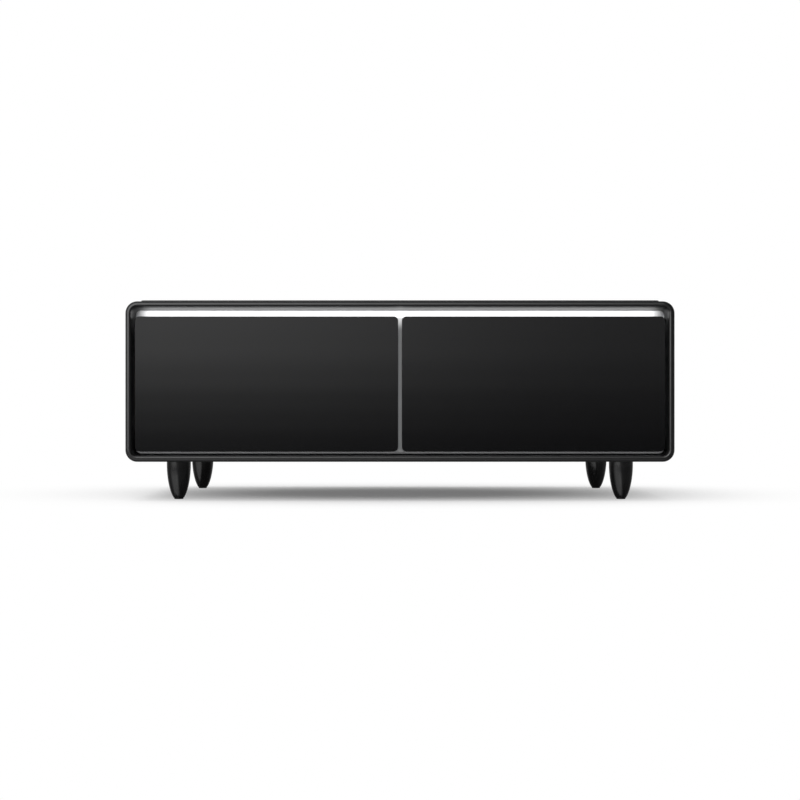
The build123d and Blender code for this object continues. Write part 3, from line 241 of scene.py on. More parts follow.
def bare_material(name):
    """Material of the studio, without a Principled shader, and its tree."""
    made = bpy.data.materials.new(name)
    made.use_nodes = True
    made.node_tree.nodes.remove(made.node_tree.nodes["Principled BSDF"])
    return made, made.node_tree


def white_glow(tree, strength):
    """White light of a given strength."""
    return node(tree, "Emission", {"Color": rgb(1), "Strength": strength}).outputs[0]


def surface_mix(tree, share, first, second):
    """Ends a material in a mix of two shaders."""
    mixed = node(tree, "MixShader", {0: share, 1: first, 2: second}).outputs[0]
    feed(tree, tree.nodes["Material Output"], {"Surface": mixed})


def paper_white():
    """Matt white under the table and plain white away from it; dim in mirrored rays."""
    made, tree = bare_material("paper floor")
    squeezed = node(tree, "Mapping", {"Vector": node(tree, "TexCoord").outputs["Object"],
                                      "Scale": (1 / FLOOR_NEAR[0], 1 / FLOOR_NEAR[1], 0)})
    distance = node(tree, "VectorMath", {0: squeezed.outputs[0]}, operation="LENGTH")
    distance = distance.outputs["Value"]
    away = ramp(tree, distance, *FLOOR_WHITE, FLOOR_THROUGH, 1.0, smooth=True)
    matt = node(tree, "BsdfDiffuse", {"Color": PAPER}).outputs[0]
    open_view, mirrored = ray_kinds(tree)
    image = ramp(tree, distance, *IMAGE_REACH, *IMAGE)
    plain = white_glow(tree, ramp(tree, mirrored, 0.0, 1.0, 1.0, image))
    sheen = maths(tree, "MULTIPLY", mirrored, ramp(tree, distance, *SHEEN_REACH, *SHEEN))
    sheen = node(tree, "BsdfAnisotropic", {"Color": sheen, "Roughness": SHEEN_ROUGH}).outputs[0]
    plain = node(tree, "AddShader", {0: plain, 1: sheen}).outputs[0]
    direct = maths(tree, "MULTIPLY", open_view, away)
    flagged = maths(tree, "MULTIPLY", mirrored, maths(tree, "MAXIMUM", away, FLOOR_FLAGGED))
    surface_mix(tree, maths(tree, "MAXIMUM", direct, flagged), matt, plain)
    return made


def stage_sheet(name, corners, material):
    """Flat sheet of the studio, which is no part of the table."""
    mesh = bpy.data.meshes.new(name)
    mesh.from_pydata(corners, [], [(0, 1, 2, 3)])
    mesh.materials.append(material)
    made = bpy.data.objects.new(name, mesh)
    bpy.context.scene.collection.objects.link(made)
    return made


stage_sheet("floor", [(-FLOOR_REACH, -FLOOR_FRONT, 0), (FLOOR_REACH, -FLOOR_FRONT, 0),
                      (FLOOR_REACH, FLOOR_REACH, 0), (-FLOOR_REACH, FLOOR_REACH, 0)],
            paper_white())

lamp = bpy.data.objects.new("high soft lamp", bpy.data.lights.new("high soft lamp", "SUN"))
lamp.data.energy = LAMP_POWER
lamp.data.angle = radians(LAMP_SPREAD)
lamp.rotation_euler = (radians(LAMP_TILT[0]), radians(LAMP_TILT[1]), 0)
lamp.visible_glossy = False
bpy.context.scene.collection.objects.link(lamp)
print("floor reaches", FLOOR_REACH, "metres")

# %% [markdown]
# Seen from behind, the polished top would mirror the large light and look as white as the wall.
# A photographer stands a grey card in the way. This one stands on edge along the front of the
# top, behind the frame's crest, so the frame still meets the light. Only mirrored rays see it.
# It fades out towards its ends, so that the top doesn't mirror a hard edge.

# %% Card along the front of the top
CARD_GREY = 0.20
CARD_LIFT, CARD_SETBACK = 0.5 * MM, 1.5 * MM        # above the glass, and in front of it
CARD_HALF, CARD_HEIGHT = 9.0, 4.0
CARD_FADE = (1.0, 8.5)                              # metres from its middle, grey to clear


def fading_grey(brightness):
    """Card of one even brightness that turns clear towards its ends."""
    made, tree = bare_material("grey card")
    across = separate(tree, node(tree, "TexCoord").outputs["Object"])["X"]
    grey = ramp(tree, maths(tree, "ABSOLUTE", across), *CARD_FADE, 1.0, 0.0, smooth=True)
    clear = node(tree, "BsdfTransparent").outputs[0]
    surface_mix(tree, grey, clear, white_glow(tree, brightness))
    return made


glass_low, glass_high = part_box("top_glass")
card_y, card_low = glass_low.y - CARD_SETBACK, glass_high.z + CARD_LIFT
card = stage_sheet("grey_card", [(-CARD_HALF, card_y, card_low), (CARD_HALF, card_y, card_low),
                                 (CARD_HALF, card_y, card_low + CARD_HEIGHT),
                                 (-CARD_HALF, card_y, card_low + CARD_HEIGHT)],
                   fading_grey(CARD_GREY))
for kind in ("camera", "diffuse", "transmission", "volume_scatter", "shadow"):
    setattr(card, "visible_" + kind, False)
print("card stands at y =", round(card_y, 4))

# %% [markdown]
# ## Finishes
# Real moulded plastic, paint and lacquer are never one flat colour. Their tone drifts slowly
# over a hand's width, and a fine grain breaks up their shine. One node group makes both, and
# every finish places it with its own numbers. Drawn out along one direction, the same grain
# becomes the brush lines of rolled or extruded metal.

# %% Node group: tone drift and fine grain
def skin_group():
    """Colour with a slow drift of tone, roughness with a fine grain, and the grain's height."""
    inputs = (("Vector", "Vector", None), ("Colour", "Color", rgb(0.5)),
              ("Drift", "Float", 0.05), ("Grain", "Float", 400.0), ("Rough", "Float", 0.4),
              ("Spread", "Float", 0.05))
    outputs = (("Colour", "Color"), ("Roughness", "Float"), ("Height", "Float"))
    group, source, sink = new_group("drift and grain", inputs, outputs)
    given = source.outputs

    def noise(scale, detail):
        return node(group, "TexNoise", {"Vector": given["Vector"], "Scale": scale,
                                        "Detail": detail}).outputs["Fac"]

    def swing(fac, reach):
        """A noise turned into a swing about zero, from minus to plus its reach."""
        share = maths(group, "MULTIPLY", maths(group, "SUBTRACT", fac, 0.5), reach)
        return maths(group, "MULTIPLY", share, 2.0)

    slow, fine = noise(7.0, 3.0), noise(given["Grain"], 2.0)
    tone = maths(group, "ADD", swing(slow, given["Drift"]), 1.0)
    colour = node(group, "VectorMath", {0: given["Colour"], "Scale": tone}, operation="SCALE")
    rough = maths(group, "ADD", swing(fine, given["Spread"]), given["Rough"], clamp=True)
    feed(group, sink, {"Colour": colour.outputs[0], "Roughness": rough, "Height": fine})
    return group


SKIN = skin_group()
print("group:", SKIN.name)

# %% [markdown]
# Polished glass has no grain. What breaks up its mirror are faint wiped patches, where the
# surface is a little duller. A second group makes these from a stretched, slowly turning noise.

# %% Node group: wiped patches on polished surfaces
def wipe_group():
    """Roughness of a polished surface with duller, wiped patches."""
    inputs = (("Vector", "Vector", None), ("Clean", "Float", 0.03), ("Wiped", "Float", 0.08))
    group, source, sink = new_group("wiped patches", inputs, (("Roughness", "Float"),))
    given = source.outputs
    bent = node(group, "Mapping", {"Vector": given["Vector"], "Rotation": (0, 0.5, 0.4),
                                   "Scale": (2, 5, 9)})
    patch = node(group, "TexNoise", {"Vector": bent.outputs[0], "Scale": 1.0, "Detail": 6.0,
                                     "Distortion": 0.8}).outputs["Fac"]
    mask = ramp(group, patch, 0.45, 0.75, smooth=True)
    mixed = node(group, "Mix", {0: mask, 2: given["Clean"], 3: given["Wiped"]}).outputs[0]
    feed(group, sink, {"Roughness": mixed})
    return group


WIPE = wipe_group()
print("group:", WIPE.name)

# %% [markdown]
# Foam, felt, rubber and pressed board are made of cells, fibres or chips. A third group scatters
# soft cells, which darken the colour in their joints and give the surface its relief.

# %% Node group: cells, fibres and chips
def cell_group():
    """Colour that darkens between scattered cells, and the cells' height."""
    inputs = (("Vector", "Vector", None), ("Colour", "Color", rgb(0.5)),
              ("Joint", "Color", rgb(0.3)), ("Scale", "Float", 300.0))
    group, source, sink = new_group("cells", inputs, (("Colour", "Color"), ("Height", "Float")))
    given = source.outputs
    cell = node(group, "TexVoronoi", {"Vector": given["Vector"], "Scale": given["Scale"]})
    depth = ramp(group, cell.outputs["Distance"], 0.15, 0.75, 1.0, 0.0, smooth=True)
    colour = node(group, "Mix", {0: depth, 6: given["Joint"], 7: given["Colour"]},
                  data_type="RGBA")
    feed(group, sink, {"Colour": colour.outputs[2], "Height": depth})
    return group


CELLS = cell_group()
print("group:", CELLS.name)

# %% [markdown]
# A finish is a material with one Principled shader. Numbers that stay the same all over a piece
# go straight onto the shader's own sockets; what varies flows in from the groups.

# %% Finish makers
def finish(name, **constants):
    """Material with one Principled shader, its even settings, and its object coordinates."""
    made = bpy.data.materials.new(name)
    made.use_nodes = True
    shader = made.node_tree.nodes["Principled BSDF"]
    for key, value in constants.items():
        shader.inputs[key.replace("_", " ")].default_value = value
    place = node(made.node_tree, "TexCoord").outputs["Object"]
    return made, made.node_tree, shader, place


def place_group(tree, group, **inputs):
    """Outputs of one node that uses a group."""
    return node(tree, "Group", inputs, node_tree=group).outputs


def bump(tree, shader, height, depth):
    """Relief of a given depth in metres."""
    relief = node(tree, "Bump", {"Height": height, "Distance": depth, "Strength": 1.0})
    feed(tree, shader, {"Normal": relief.outputs[0]})


def skinned(tree, shader, place, colour, rough, spread=0.05, drift=0.06, grain=900.0,
            depth=None):
    """Gives a shader the drift and grain of the first group, and its relief if it has a depth."""
    skin = place_group(tree, SKIN, Vector=place, Colour=colour, Drift=drift, Grain=grain,
                       Rough=rough, Spread=spread)
    feed(tree, shader, {"Base Color": skin["Colour"], "Roughness": skin["Roughness"]})
    if depth:
        bump(tree, shader, skin["Height"], depth)


def coated(name, colour, rough, spread=0.05, drift=0.06, grain=900.0, depth=2e-5,
           stretch=(1, 1, 1), **constants):
    """Plastic, paint, lacquer or metal: drifting tone and fine grain, drawn out by stretch."""
    made, tree, shader, place = finish(name, **constants)
    drawn = node(tree, "Mapping", {"Vector": place, "Scale": stretch}).outputs[0]
    skinned(tree, shader, drawn, colour, rough, spread, drift, grain, depth)
    return made


def polished(name, colour, clean, wiped, **constants):
    """Polished, coloured glass with faint wiped patches."""
    made, tree, shader, place = finish(name, **constants)
    skinned(tree, shader, place, colour, clean, spread=0.0, drift=0.08, grain=60.0)
    wiped = place_group(tree, WIPE, Vector=place, Clean=clean, Wiped=wiped)
    feed(tree, shader, {"Roughness": wiped["Roughness"]})
    return made


def cellular(name, colour, joint, scale, rough, depth, stretch=(1, 1, 1), **constants):
    """Foam, felt, rubber or board."""
    made, tree, shader, place = finish(name, Roughness=rough, **constants)
    drawn = node(tree, "Mapping", {"Vector": place, "Scale": stretch}).outputs[0]
    cells = place_group(tree, CELLS, Vector=drawn, Colour=colour, Joint=joint, Scale=scale)
    feed(tree, shader, {"Base Color": cells["Colour"]})
    bump(tree, shader, cells["Height"], depth)
    return made

# %% [markdown]
# Most of the table is black, in five kinds: powder-coated sheet, a semi-gloss moulded frame, two
# black glasses and satin lacquer on the legs. They differ in shine far more than in colour.

# %% Black finishes
FINISHES = {
    "cabinet_black": coated("powder coat, black", rgb(0.014, 0.014, 0.015), 0.40, spread=0.10,
                            grain=1400.0, depth=3e-5),
    "frame_black": coated("moulded frame, black", rgb(0.0065, 0.0065, 0.007), 0.29,
                          spread=0.04, grain=2200.0, depth=6e-6),
    "top_black_glass": polished("glass, black, top", rgb(0.008, 0.008, 0.009), 0.03, 0.07),
    "front_black_glass": polished("glass, black, fronts", rgb(0.0045, 0.0045, 0.005), 0.012,
                                  0.02),
    "leg_black": coated("lacquer, black satin", rgb(0.0020, 0.0020, 0.0024), 0.20,
                        grain=120.0, depth=8e-6, stretch=(6, 6, 1)),
    "machine_black": coated("enamel, black", rgb(0.025), 0.35, spread=0.06, grain=500.0),
    "black_plastic": coated("plastic, black, textured", rgb(0.035), 0.48, spread=0.08,
                            grain=1500.0, depth=3e-5),
    "rubber_black": cellular("rubber, black", rgb(0.022), rgb(0.012), 900.0, 0.72, 2e-5),
    "tape_black": cellular("foam tape, black", rgb(0.03), rgb(0.012), 700.0, 0.85, 4e-5),
    "felt": cellular("felt, black", rgb(0.05), rgb(0.02), 1500.0, 0.95, 1e-4,
                     stretch=(1, 2.5, 1)),
}
print(len(FINISHES), "black finishes")

# %% [markdown]
# Inside, the table is a refrigerator: white moulded liners, frosted bins, zinc-plated slides,
# aluminium rails, copper tubes and cream foam.

# %% Inner finishes
FINISHES.update({
    "liner_white": coated("moulded liner, white", rgb(0.80, 0.81, 0.82), 0.30, drift=0.02,
                          grain=700.0),
    "bin_clear_grey": coated("frosted bin", rgb(0.80, 0.84, 0.86), 0.34, spread=0.06,
                             drift=0.03, grain=800.0, Transmission_Weight=0.45, IOR=1.3),
    "gasket_grey": coated("magnetic seal, grey", rgb(0.42, 0.43, 0.44), 0.62, grain=600.0),
    "face_steel": coated("face plate, grey paint", rgb(0.60, 0.61, 0.62), 0.36, spread=0.06,
                         drift=0.03),
    "zinc_steel": coated("zinc-plated steel", rgb(0.58, 0.59, 0.60), 0.32, spread=0.10,
                         drift=0.10, grain=260.0, depth=4e-6, stretch=(8, 1, 8),
                         Metallic=0.55),
    "aluminium": coated("aluminium, extruded", rgb(0.70, 0.71, 0.72), 0.28, spread=0.04,
                        drift=0.05, grain=60.0, depth=1e-6, stretch=(1, 40, 40),
                        Metallic=0.6),
    "copper": coated("copper tube", rgb(0.72, 0.36, 0.22), 0.30, spread=0.10, drift=0.12,
                     grain=300.0, depth=1e-5, Metallic=0.6),
    "foam": cellular("rigid foam, cream", rgb(0.82, 0.74, 0.50), rgb(0.62, 0.52, 0.30), 450.0,
                     0.9, 1e-4),
    "deck_board": cellular("pressed board", rgb(0.36, 0.27, 0.18), rgb(0.16, 0.11, 0.07),
                           180.0, 0.8, 5e-5, stretch=(0.4, 1, 2)),
    "circuit_green": coated("solder mask, green", rgb(0.02, 0.16, 0.06), 0.30, drift=0.3,
                            grain=250.0),
})
print(len(FINISHES), "finishes")

# %% [markdown]
# The lit band is an opal cover over a row of small lights. It glows evenly, and fades out near
# its ends, where the row of lights stops. The pale trim below it is grey plastic with painted
# light: a glow that stands in for the band's light falling down the open gap between the drawers.

# %% Lit finishes
BAND_GLOW, BAND_FADE = 1.15, 38 * MM         # strength, and length of the fade at each end
# painted light on the trim: its strength, how far down from the band it reaches, and how far from
# the middle it shows
TRIM_PAINTED_LIGHT, TRIM_PAINTED_REACH = 0.58, 33 * MM         # strength, and how far down it reaches
TRIM_PAINTED_SPAN = (3.5 * MM, 9 * MM)               # from the middle to where the drawers cover the trim

band_low, band_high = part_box("light_diffuser")


def light_up(tree, shader, glow):
    """Links a share of glow, the same for all colours, to the shader's emission."""
    colour = node(tree, "CombineColor", {0: glow, 1: glow, 2: glow}).outputs[0]
    feed(tree, shader, {"Emission Color": colour})


def opal_band():
    """Opal cover: an even glow that fades at both ends."""
    made, tree, shader, place = finish("opal cover, lit", Emission_Strength=BAND_GLOW)
    from_end = maths(tree, "SUBTRACT", band_high.x,
                     maths(tree, "ABSOLUTE", separate(tree, place)["X"]))
    light_up(tree, shader, ramp(tree, from_end, 0.0, BAND_FADE, smooth=True))
    skinned(tree, shader, place, rgb(0.80, 0.81, 0.83), 0.45, drift=0.02)
    return made


def trim_grey():
    """Pale grey moulding with painted light: a glow for the band's light a little way down the open
    gap.
    """
    made, tree, shader, place = finish("trim, pale grey", Emission_Strength=TRIM_PAINTED_LIGHT)
    parts = separate(tree, place)
    down = maths(tree, "SUBTRACT", band_low.z, parts["Z"])
    aside = maths(tree, "ABSOLUTE", parts["X"])
    # painted light: a glow that fades down from the band and out to where the drawers cover the
    # trim
    light_up(tree, shader, maths(tree, "MULTIPLY",
                                 ramp(tree, down, 0.0, TRIM_PAINTED_REACH, 1.0, 0.0, smooth=True),
                                 ramp(tree, aside, *TRIM_PAINTED_SPAN, 1.0, 0.0, smooth=True)))
    skinned(tree, shader, place, rgb(0.28, 0.285, 0.29), 0.42, spread=0.06, drift=0.04,
            depth=2e-5)
    return made


FINISHES["light_white"] = opal_band()
# the trim's finish carries painted light in its emission
FINISHES["trim_grey"] = trim_grey()
print(len(FINISHES), "finishes with the lit ones")

# %% [markdown]
# Each measured node names its finish, so one pass gives every node the right material, the
# hidden ones too.

# %% Finish every measured node
SLOTS = {row["node"]: row["material_slot"] for row in frame["record"]["subparts"]}
for name, piece in frame["nodes"].items():
    piece.data.materials.clear()
    piece.data.materials.append(FINISHES[SLOTS[name]])
print("nodes with a finish:", len(frame["nodes"]))

# %% [markdown]
# ## Surfaces from rings
# Almost every form here is a rounded rectangle that grows, shrinks or moves as it goes along:
# the frame, the glass, the liners, the bins. So one function gives the points of a rounded
# rectangle, and another joins a stack of such rings with quads. A shape is then a short table
# of how far each ring is drawn in, and where it lies.

# %% Ring helpers
SIDES = ("left", "right")
CORNER_STEPS = 14


def rounded_loop(left, right, low, high, radius, inset=0.0, steps=CORNER_STEPS):
    """Rounded rectangle, anticlockwise: each corner is its centre plus radius (cos t, sin t)."""
    left, right, low, high = left + inset, right - inset, low + inset, high - inset
    radius = np.broadcast_to(np.maximum(radius, 1e-5), (4,))
    centre_x = np.array([right - radius[0], left + radius[1], left + radius[2], right - radius[3]])
    centre_z = np.array([high - radius[0], high - radius[1], low + radius[2], low + radius[3]])
    turn = np.arange(4)[:, None] * np.pi / 2 + np.linspace(0, np.pi / 2, steps)
    x = centre_x[:, None] + radius[:, None] * np.cos(turn)
    z = centre_z[:, None] + radius[:, None] * np.sin(turn)
    return np.stack([x, z], -1).reshape(-1, 2)


def grid(x, y, z):
    """Points from their x, y and z, each of them an array or one value for all."""
    return np.stack(np.broadcast_arrays(x, y, z), -1)


def upright(loop, y):
    """Ring that faces the front, at depth y."""
    return grid(loop[:, 0], y, loop[:, 1])


def lying(loop, z):
    """Ring that lies flat, at height z."""
    return grid(loop[:, 0], loop[:, 1], z)


def front_ring(low, high, inset, y, radius, steps=CORNER_STEPS):
    """Upright ring round a box as seen from the front, drawn in all round."""
    return upright(rounded_loop(low.x, high.x, low.z, high.z, radius, inset, steps), y)


def quarter(across, along=None, steps=6):
    """Rows (inset, depth) of a quarter round or ellipse, from the side wall to the flat.

    They are across (1 - cos t) and along sin t; without along, the two are the same."""
    t = np.linspace(0, np.pi / 2, steps)
    return np.column_stack([across * (1 - np.cos(t)), (along or across) * np.sin(t)])


def pencil_edge(half, depth, steps=9):
    """Rows (inset, place) of a rounded glass edge: an elliptical arc from -half to half."""
    t = np.linspace(-np.pi / 2, np.pi / 2, steps)
    return np.stack([depth * (1 - np.cos(t)), half * np.sin(t)], -1)


def round_angles(count):
    """Angles of a full turn, the last one short of the first."""
    return np.linspace(0, 2 * np.pi, count, endpoint=False)


def skin_over(rings, closed=False):
    """Points and faces over a stack of rings (rings, points, 3); open stacks get end caps."""
    rings = np.stack(rings)
    count, size = rings.shape[:2]
    row = np.arange(count if closed else count - 1)[:, None] * size
    here = np.arange(size)[None, :]
    ahead = (here + 1) % size
    above = (row + size) % (count * size)
    quads = np.stack([row + here, row + ahead, above + ahead, above + here], -1)
    faces = quads.reshape(-1, 4).tolist()
    if not closed:
        faces.append(list(range(size))[::-1])
        faces.append(list(range((count - 1) * size, count * size)))
    return rings.reshape(-1, 3), faces


def drawn_in(low, high, rows, corner, least=0.0):
    """Surface over upright rings round a box, one for each row (inset, depth).

    The corner radius shrinks by the inset, down to its least value."""
    return skin_over([front_ring(low, high, inset, y, np.maximum(corner - inset, least))
                      for inset, y in rows])

# %% [markdown]
# A finished piece needs the same few things each time: outward faces, smooth shading that stays
# crisp at real edges, a material, the body it rides on, and the node that it stands for.

# %% Piece helpers
SAME_POINT = 1e-6
CRISP = radians(38)


def reworked(mesh, *steps):
    """Runs mesh operators over a mesh, one after the other."""
    made = bmesh.new()
    made.from_mesh(mesh)
    for step in steps:
        step(made)
    made.to_mesh(mesh)
    made.free()


def merge(made):
    """Joins points that lie on each other."""
    bmesh.ops.remove_doubles(made, verts=made.verts, dist=SAME_POINT)


def face_outwards(made):
    """Turns every face outwards."""
    bmesh.ops.recalc_face_normals(made, faces=made.faces)


def new_piece(name, parts, node_name, crisp=CRISP, stands_for=True):
    """Object from one or more (points, faces) parts, with the finish and body of a node."""
    parts = parts if isinstance(parts, list) else [parts]
    points, faces, start = [], [], 0
    for part_points, part_faces in parts:
        points.append(part_points)
        faces.extend([[i + start for i in face] for face in part_faces])
        start += len(part_points)
    mesh = bpy.data.meshes.new(name)
    mesh.from_pydata(np.concatenate(points).tolist(), [], faces)
    reworked(mesh, merge, face_outwards)
    return settle(bpy.data.objects.new(name, mesh), node_name, crisp, stands_for)


def settle(piece, node_name, crisp=CRISP, stands_for=True):
    """Shading, finish and body of a piece, and the node that it replaces if it stands for it."""
    bpy.context.scene.collection.objects.link(piece)
    piece.data.shade_smooth()
    piece.data.set_sharp_from_angle(angle=crisp)
    piece.data.materials.clear()
    piece.data.materials.append(FINISHES[SLOTS[node_name]])
    weigh = piece.modifiers.new("flat faces stay flat", "WEIGHTED_NORMAL")
    weigh.keep_sharp = True
    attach(piece, frame["nodes"][node_name]["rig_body"])
    if stands_for:
        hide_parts(node_name)
    return piece


def pairs(*kinds):
    """Left and right pieces; a kind is (name, node's name, shape worked out from its box)."""
    for side in SIDES:
        for name, node_name, shape in kinds:
            own = side + "_" + node_name
            piece = new_piece(side + "_" + name, shape(*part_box(own)), own)
            print(piece.name + ":", len(piece.data.polygons), "faces")


def cut(piece, points, faces):
    """Takes the space of a closed form out of a piece."""
    tool = bpy.data.objects.new("cutter", bpy.data.meshes.new("cutter"))
    tool.data.from_pydata(points.tolist(), [], faces)
    reworked(tool.data, face_outwards)
    bpy.context.scene.collection.objects.link(tool)
    carve = piece.modifiers.new("cut", "BOOLEAN")
    carve.object = tool
    carve.operation = "DIFFERENCE"
    carve.solver = "EXACT"
    bpy.context.view_layer.objects.active = piece
    bpy.ops.object.modifier_move_to_index(modifier=carve.name, index=0)
    bpy.ops.object.modifier_apply(modifier=carve.name)
    bpy.data.objects.remove(tool)

# %% [markdown]
# ## The front frame
# The frame is one moulding: a convex bead all round, a gently swelling slope behind it that
# catches the light of the band, and a straight throat. The bead is half an ellipse carried
# round the cabinet's outline. On the way in, the corner radius shrinks from the cabinet's to
# the opening's, which keeps the bead's width even round the corners.

# %% Front frame
HALF = front_high.x
FRONT, SEAM = front_low.y, front_high.y
LOW, HIGH = front_low.z, front_high.z
CORNER, OPENING_CORNER, THROAT_CORNER = 28 * MM, 15 * MM, 12 * MM
BEAD = np.array([13.8, 12.6, 14.4]) * MM      # width at the sides, the top and the bottom
THROAT = np.array([19.0, 19.0, 19.0]) * MM    # the throat's inset from the same three
BEAD_ROUND = 6.5 * MM         # from the crest back to the cabinet's edge
BEAD_FULL = 0.85              # below 1, the bead's section is fuller than an ellipse
BEAD_LEAN = 0.62              # below 1, the crest leans towards the opening
BEAD_TURN = 0.875             # share of the half turn, where the slope takes over
SLOPE_END = FRONT + 40 * MM
SWELL = 0.85                  # 0 is a straight slope, 1 a parabola that ends level
SEAM_CHAMFER = 0.5 * MM
BEAD_STEPS, SLOPE_STEPS = 17, 11


def frame_ring(side, top, bottom, corner, y):
    """Ring of the frame: the cabinet's outline drawn in at the sides, top and bottom."""
    return upright(rounded_loop(-HALF + side, HALF - side, LOW + bottom, HIGH - top, corner), y)


def bead_rows():
    """Rows of the bead: share ((1 - cos t) / 2) ** BEAD_LEAN of its width.

    Its depth is BEAD_ROUND (1 - sin t ** BEAD_FULL)."""
    t = np.linspace(0, np.pi * BEAD_TURN, BEAD_STEPS)
    share = ((1 - np.cos(t)) / 2) ** BEAD_LEAN
    corner = CORNER + (OPENING_CORNER - CORNER) * share
    y = FRONT + BEAD_ROUND * (1 - np.sin(t) ** BEAD_FULL)
    return np.column_stack([share[:, None] * BEAD, corner, y])


def slope_rows():
    """Rows of the slope: from the bead's last row to the throat, by a share that starts steep.

    The share at u along the depth is SWELL (2u - u squared) + (1 - SWELL) u."""
    u = np.linspace(0, 1, SLOPE_STEPS)
    share = SWELL * (2 * u - u ** 2) + (1 - SWELL) * u
    start, end = bead_rows()[-1], np.array([*THROAT, THROAT_CORNER, SLOPE_END])
    rows = start + share[:, None] * (end - start)
    rows[:, -1] = start[-1] + u * (SLOPE_END - start[-1])
    return rows


def front_frame():
    """The moulded frame as one closed surface."""
    chamfer = np.array([[SEAM_CHAMFER] * 3 + [CORNER - SEAM_CHAMFER, SEAM],
                        [0, 0, 0, CORNER, SEAM - SEAM_CHAMFER]])
    end = [[*THROAT, THROAT_CORNER, SEAM]]
    rows = np.concatenate([chamfer, bead_rows()[:-1], slope_rows(), end])
    return new_piece("front_frame", skin_over([frame_ring(*row) for row in rows], closed=True),
                     "front_bezel")


frame_piece = front_frame()
print("front frame:", len(frame_piece.data.polygons), "faces")

# %% [markdown]
# ## The cabinet's sheet
# Behind the frame, the cabinet is a wrap of sheet steel. Its rear edge is hemmed, and a flange
# turns inwards to carry the rear panel. A fine chamfer on both sides of the joint gives the
# thin dark line where sheet and frame meet.

# %% Cabinet wrap
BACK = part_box("outer_shell")[1].y
PANEL_FRONT, PANEL_BACK = (corner.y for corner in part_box("rear_panel"))
SHEET = 1.5 * MM
FLANGE = 15 * MM


def cabinet_wrap():
    """Sheet steel wrap, closed over its own thickness; rows (inset, depth)."""
    t = np.linspace(0, np.pi, 7)
    hem = np.column_stack([SHEET / 2 * (1 - np.cos(t)), BACK - SHEET / 2 * (1 - np.sin(t))])
    outside = [[SEAM_CHAMFER, SEAM], [0, SEAM + SEAM_CHAMFER]]
    inside = [[SHEET, PANEL_FRONT], [SHEET + FLANGE, PANEL_FRONT],
              [SHEET + FLANGE, PANEL_FRONT - SHEET], [SHEET, PANEL_FRONT - SHEET], [SHEET, SEAM]]
    rings = [frame_ring(inset, inset, inset, CORNER - inset, y)
             for inset, y in np.concatenate([outside, hem, inside])]
    return new_piece("cabinet_wrap", skin_over(rings, closed=True), "outer_shell")


wrap_piece = cabinet_wrap()
print("cabinet wrap:", len(wrap_piece.data.polygons), "faces")

# %% [markdown]
# ## The glass top
# The top is a sheet of black glass with rounded corners and a pencil edge, ground half round.
# It stands a few millimetres proud of the cabinet, in a shallow recess with a fine joint all
# round. The recess is cut out of the frame and the wrap with the same outline, a little larger.

# %% Glass top and its recess
TOP_CORNER = 14 * MM
TOP_EDGE = 1.1 * MM
TOP_JOINT = 0.6 * MM
TAPE = 0.5 * MM               # thickness of the tape under the glass
CUT_ABOVE = 9 * MM            # how far above the glass the cut goes on


def top_ring(grow, z):
    """Ring of the top's outline, made larger all round."""
    return lying(rounded_loop(glass_low.x, glass_high.x, glass_low.y, glass_high.y,
                              TOP_CORNER + grow, -grow), z)


def glass_top():
    """Glass sheet with a ground edge."""
    middle = (glass_low.z + glass_high.z) / 2
    edge = pencil_edge((glass_high.z - glass_low.z) / 2, TOP_EDGE)
    return new_piece("glass_top", skin_over([top_ring(-inset, middle + z) for inset, z in edge]),
                     "top_glass")


recess = skin_over([top_ring(TOP_JOINT, glass_low.z - TAPE),
                    top_ring(TOP_JOINT, glass_high.z + CUT_ABOVE)])
for piece in (frame_piece, wrap_piece):
    cut(piece, *recess)
print("glass top:", len(glass_top().data.polygons), "faces")

# %% [markdown]
# ## Drawer fronts
# Each front is a sheet of black glass with small rounded corners, ground round at its edge. In
# the picture it mirrors the room, so its flatness matters more than anything: the face is one
# single polygon.

# %% Drawer glasses
GLASS_CORNER = 10 * MM
GLASS_EDGE = 0.35 * MM


def drawer_glass(low, high):
    """Front glass of one drawer, ground round at its edge."""
    edge = pencil_edge((high.y - low.y) / 2, GLASS_EDGE)
    return drawn_in(low, high, edge * [1, -1] + [0, (low.y + high.y) / 2], GLASS_CORNER)


pairs(("drawer_glass", "front_glass", drawer_glass))

# %% [markdown]
# ## The lit band
# The opal cover is slightly crowned, with its upper corners rounded to follow the throat.

# %% Opal cover of the lit band
BAND_CORNERS = np.array([10, 10, 1.5, 1.5]) * MM      # the two upper ones, then the lower ones
BAND_EDGE = 0.8 * MM
BAND_CROWN = 0.5 * MM


def opal_cover():
    """Cover of the band: rings drawn in from its edge towards a crowned middle."""
    rows = [(0, band_high.y), (0, band_low.y + BAND_EDGE), (BAND_EDGE, band_low.y),
            (3 * BAND_EDGE, band_low.y - BAND_CROWN / 2),
            (6 * BAND_EDGE, band_low.y - BAND_CROWN)]
    return new_piece("opal_cover", drawn_in(band_low, band_high, rows, BAND_CORNERS),
                     "light_diffuser")


print("opal cover:", len(opal_cover().data.polygons), "faces")

# %% [markdown]
# ## The pale trim
# A sill runs under the drawers and turns up round their lower outer corners; a divider stands
# between them. Both are a small rounded section carried along a path: each point is the path's
# point, plus the section's width along the path's normal, plus its depth straight back.

# %% Sill and divider
SILL = 5.2 * MM
SILL_CORNER = 15 * MM
SILL_UP = 33 * MM             # height of the turned-up ends
DIVIDER_HALF = 12 * MM
TRIM_ROUND = 1.7 * MM

trim_low, trim_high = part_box("front_trim")


def carried(path, normal, half):
    """Trim section of a half width, carried along a path in the XZ plane."""
    section = rounded_loop(-half, half, trim_low.y, trim_high.y, TRIM_ROUND, steps=4)
    x = path[:, None, 0] + normal[:, None, 0] * section[None, :, 0]
    z = path[:, None, 1] + normal[:, None, 1] * section[None, :, 0]
    return skin_over(grid(x, section[None, :, 1], z))


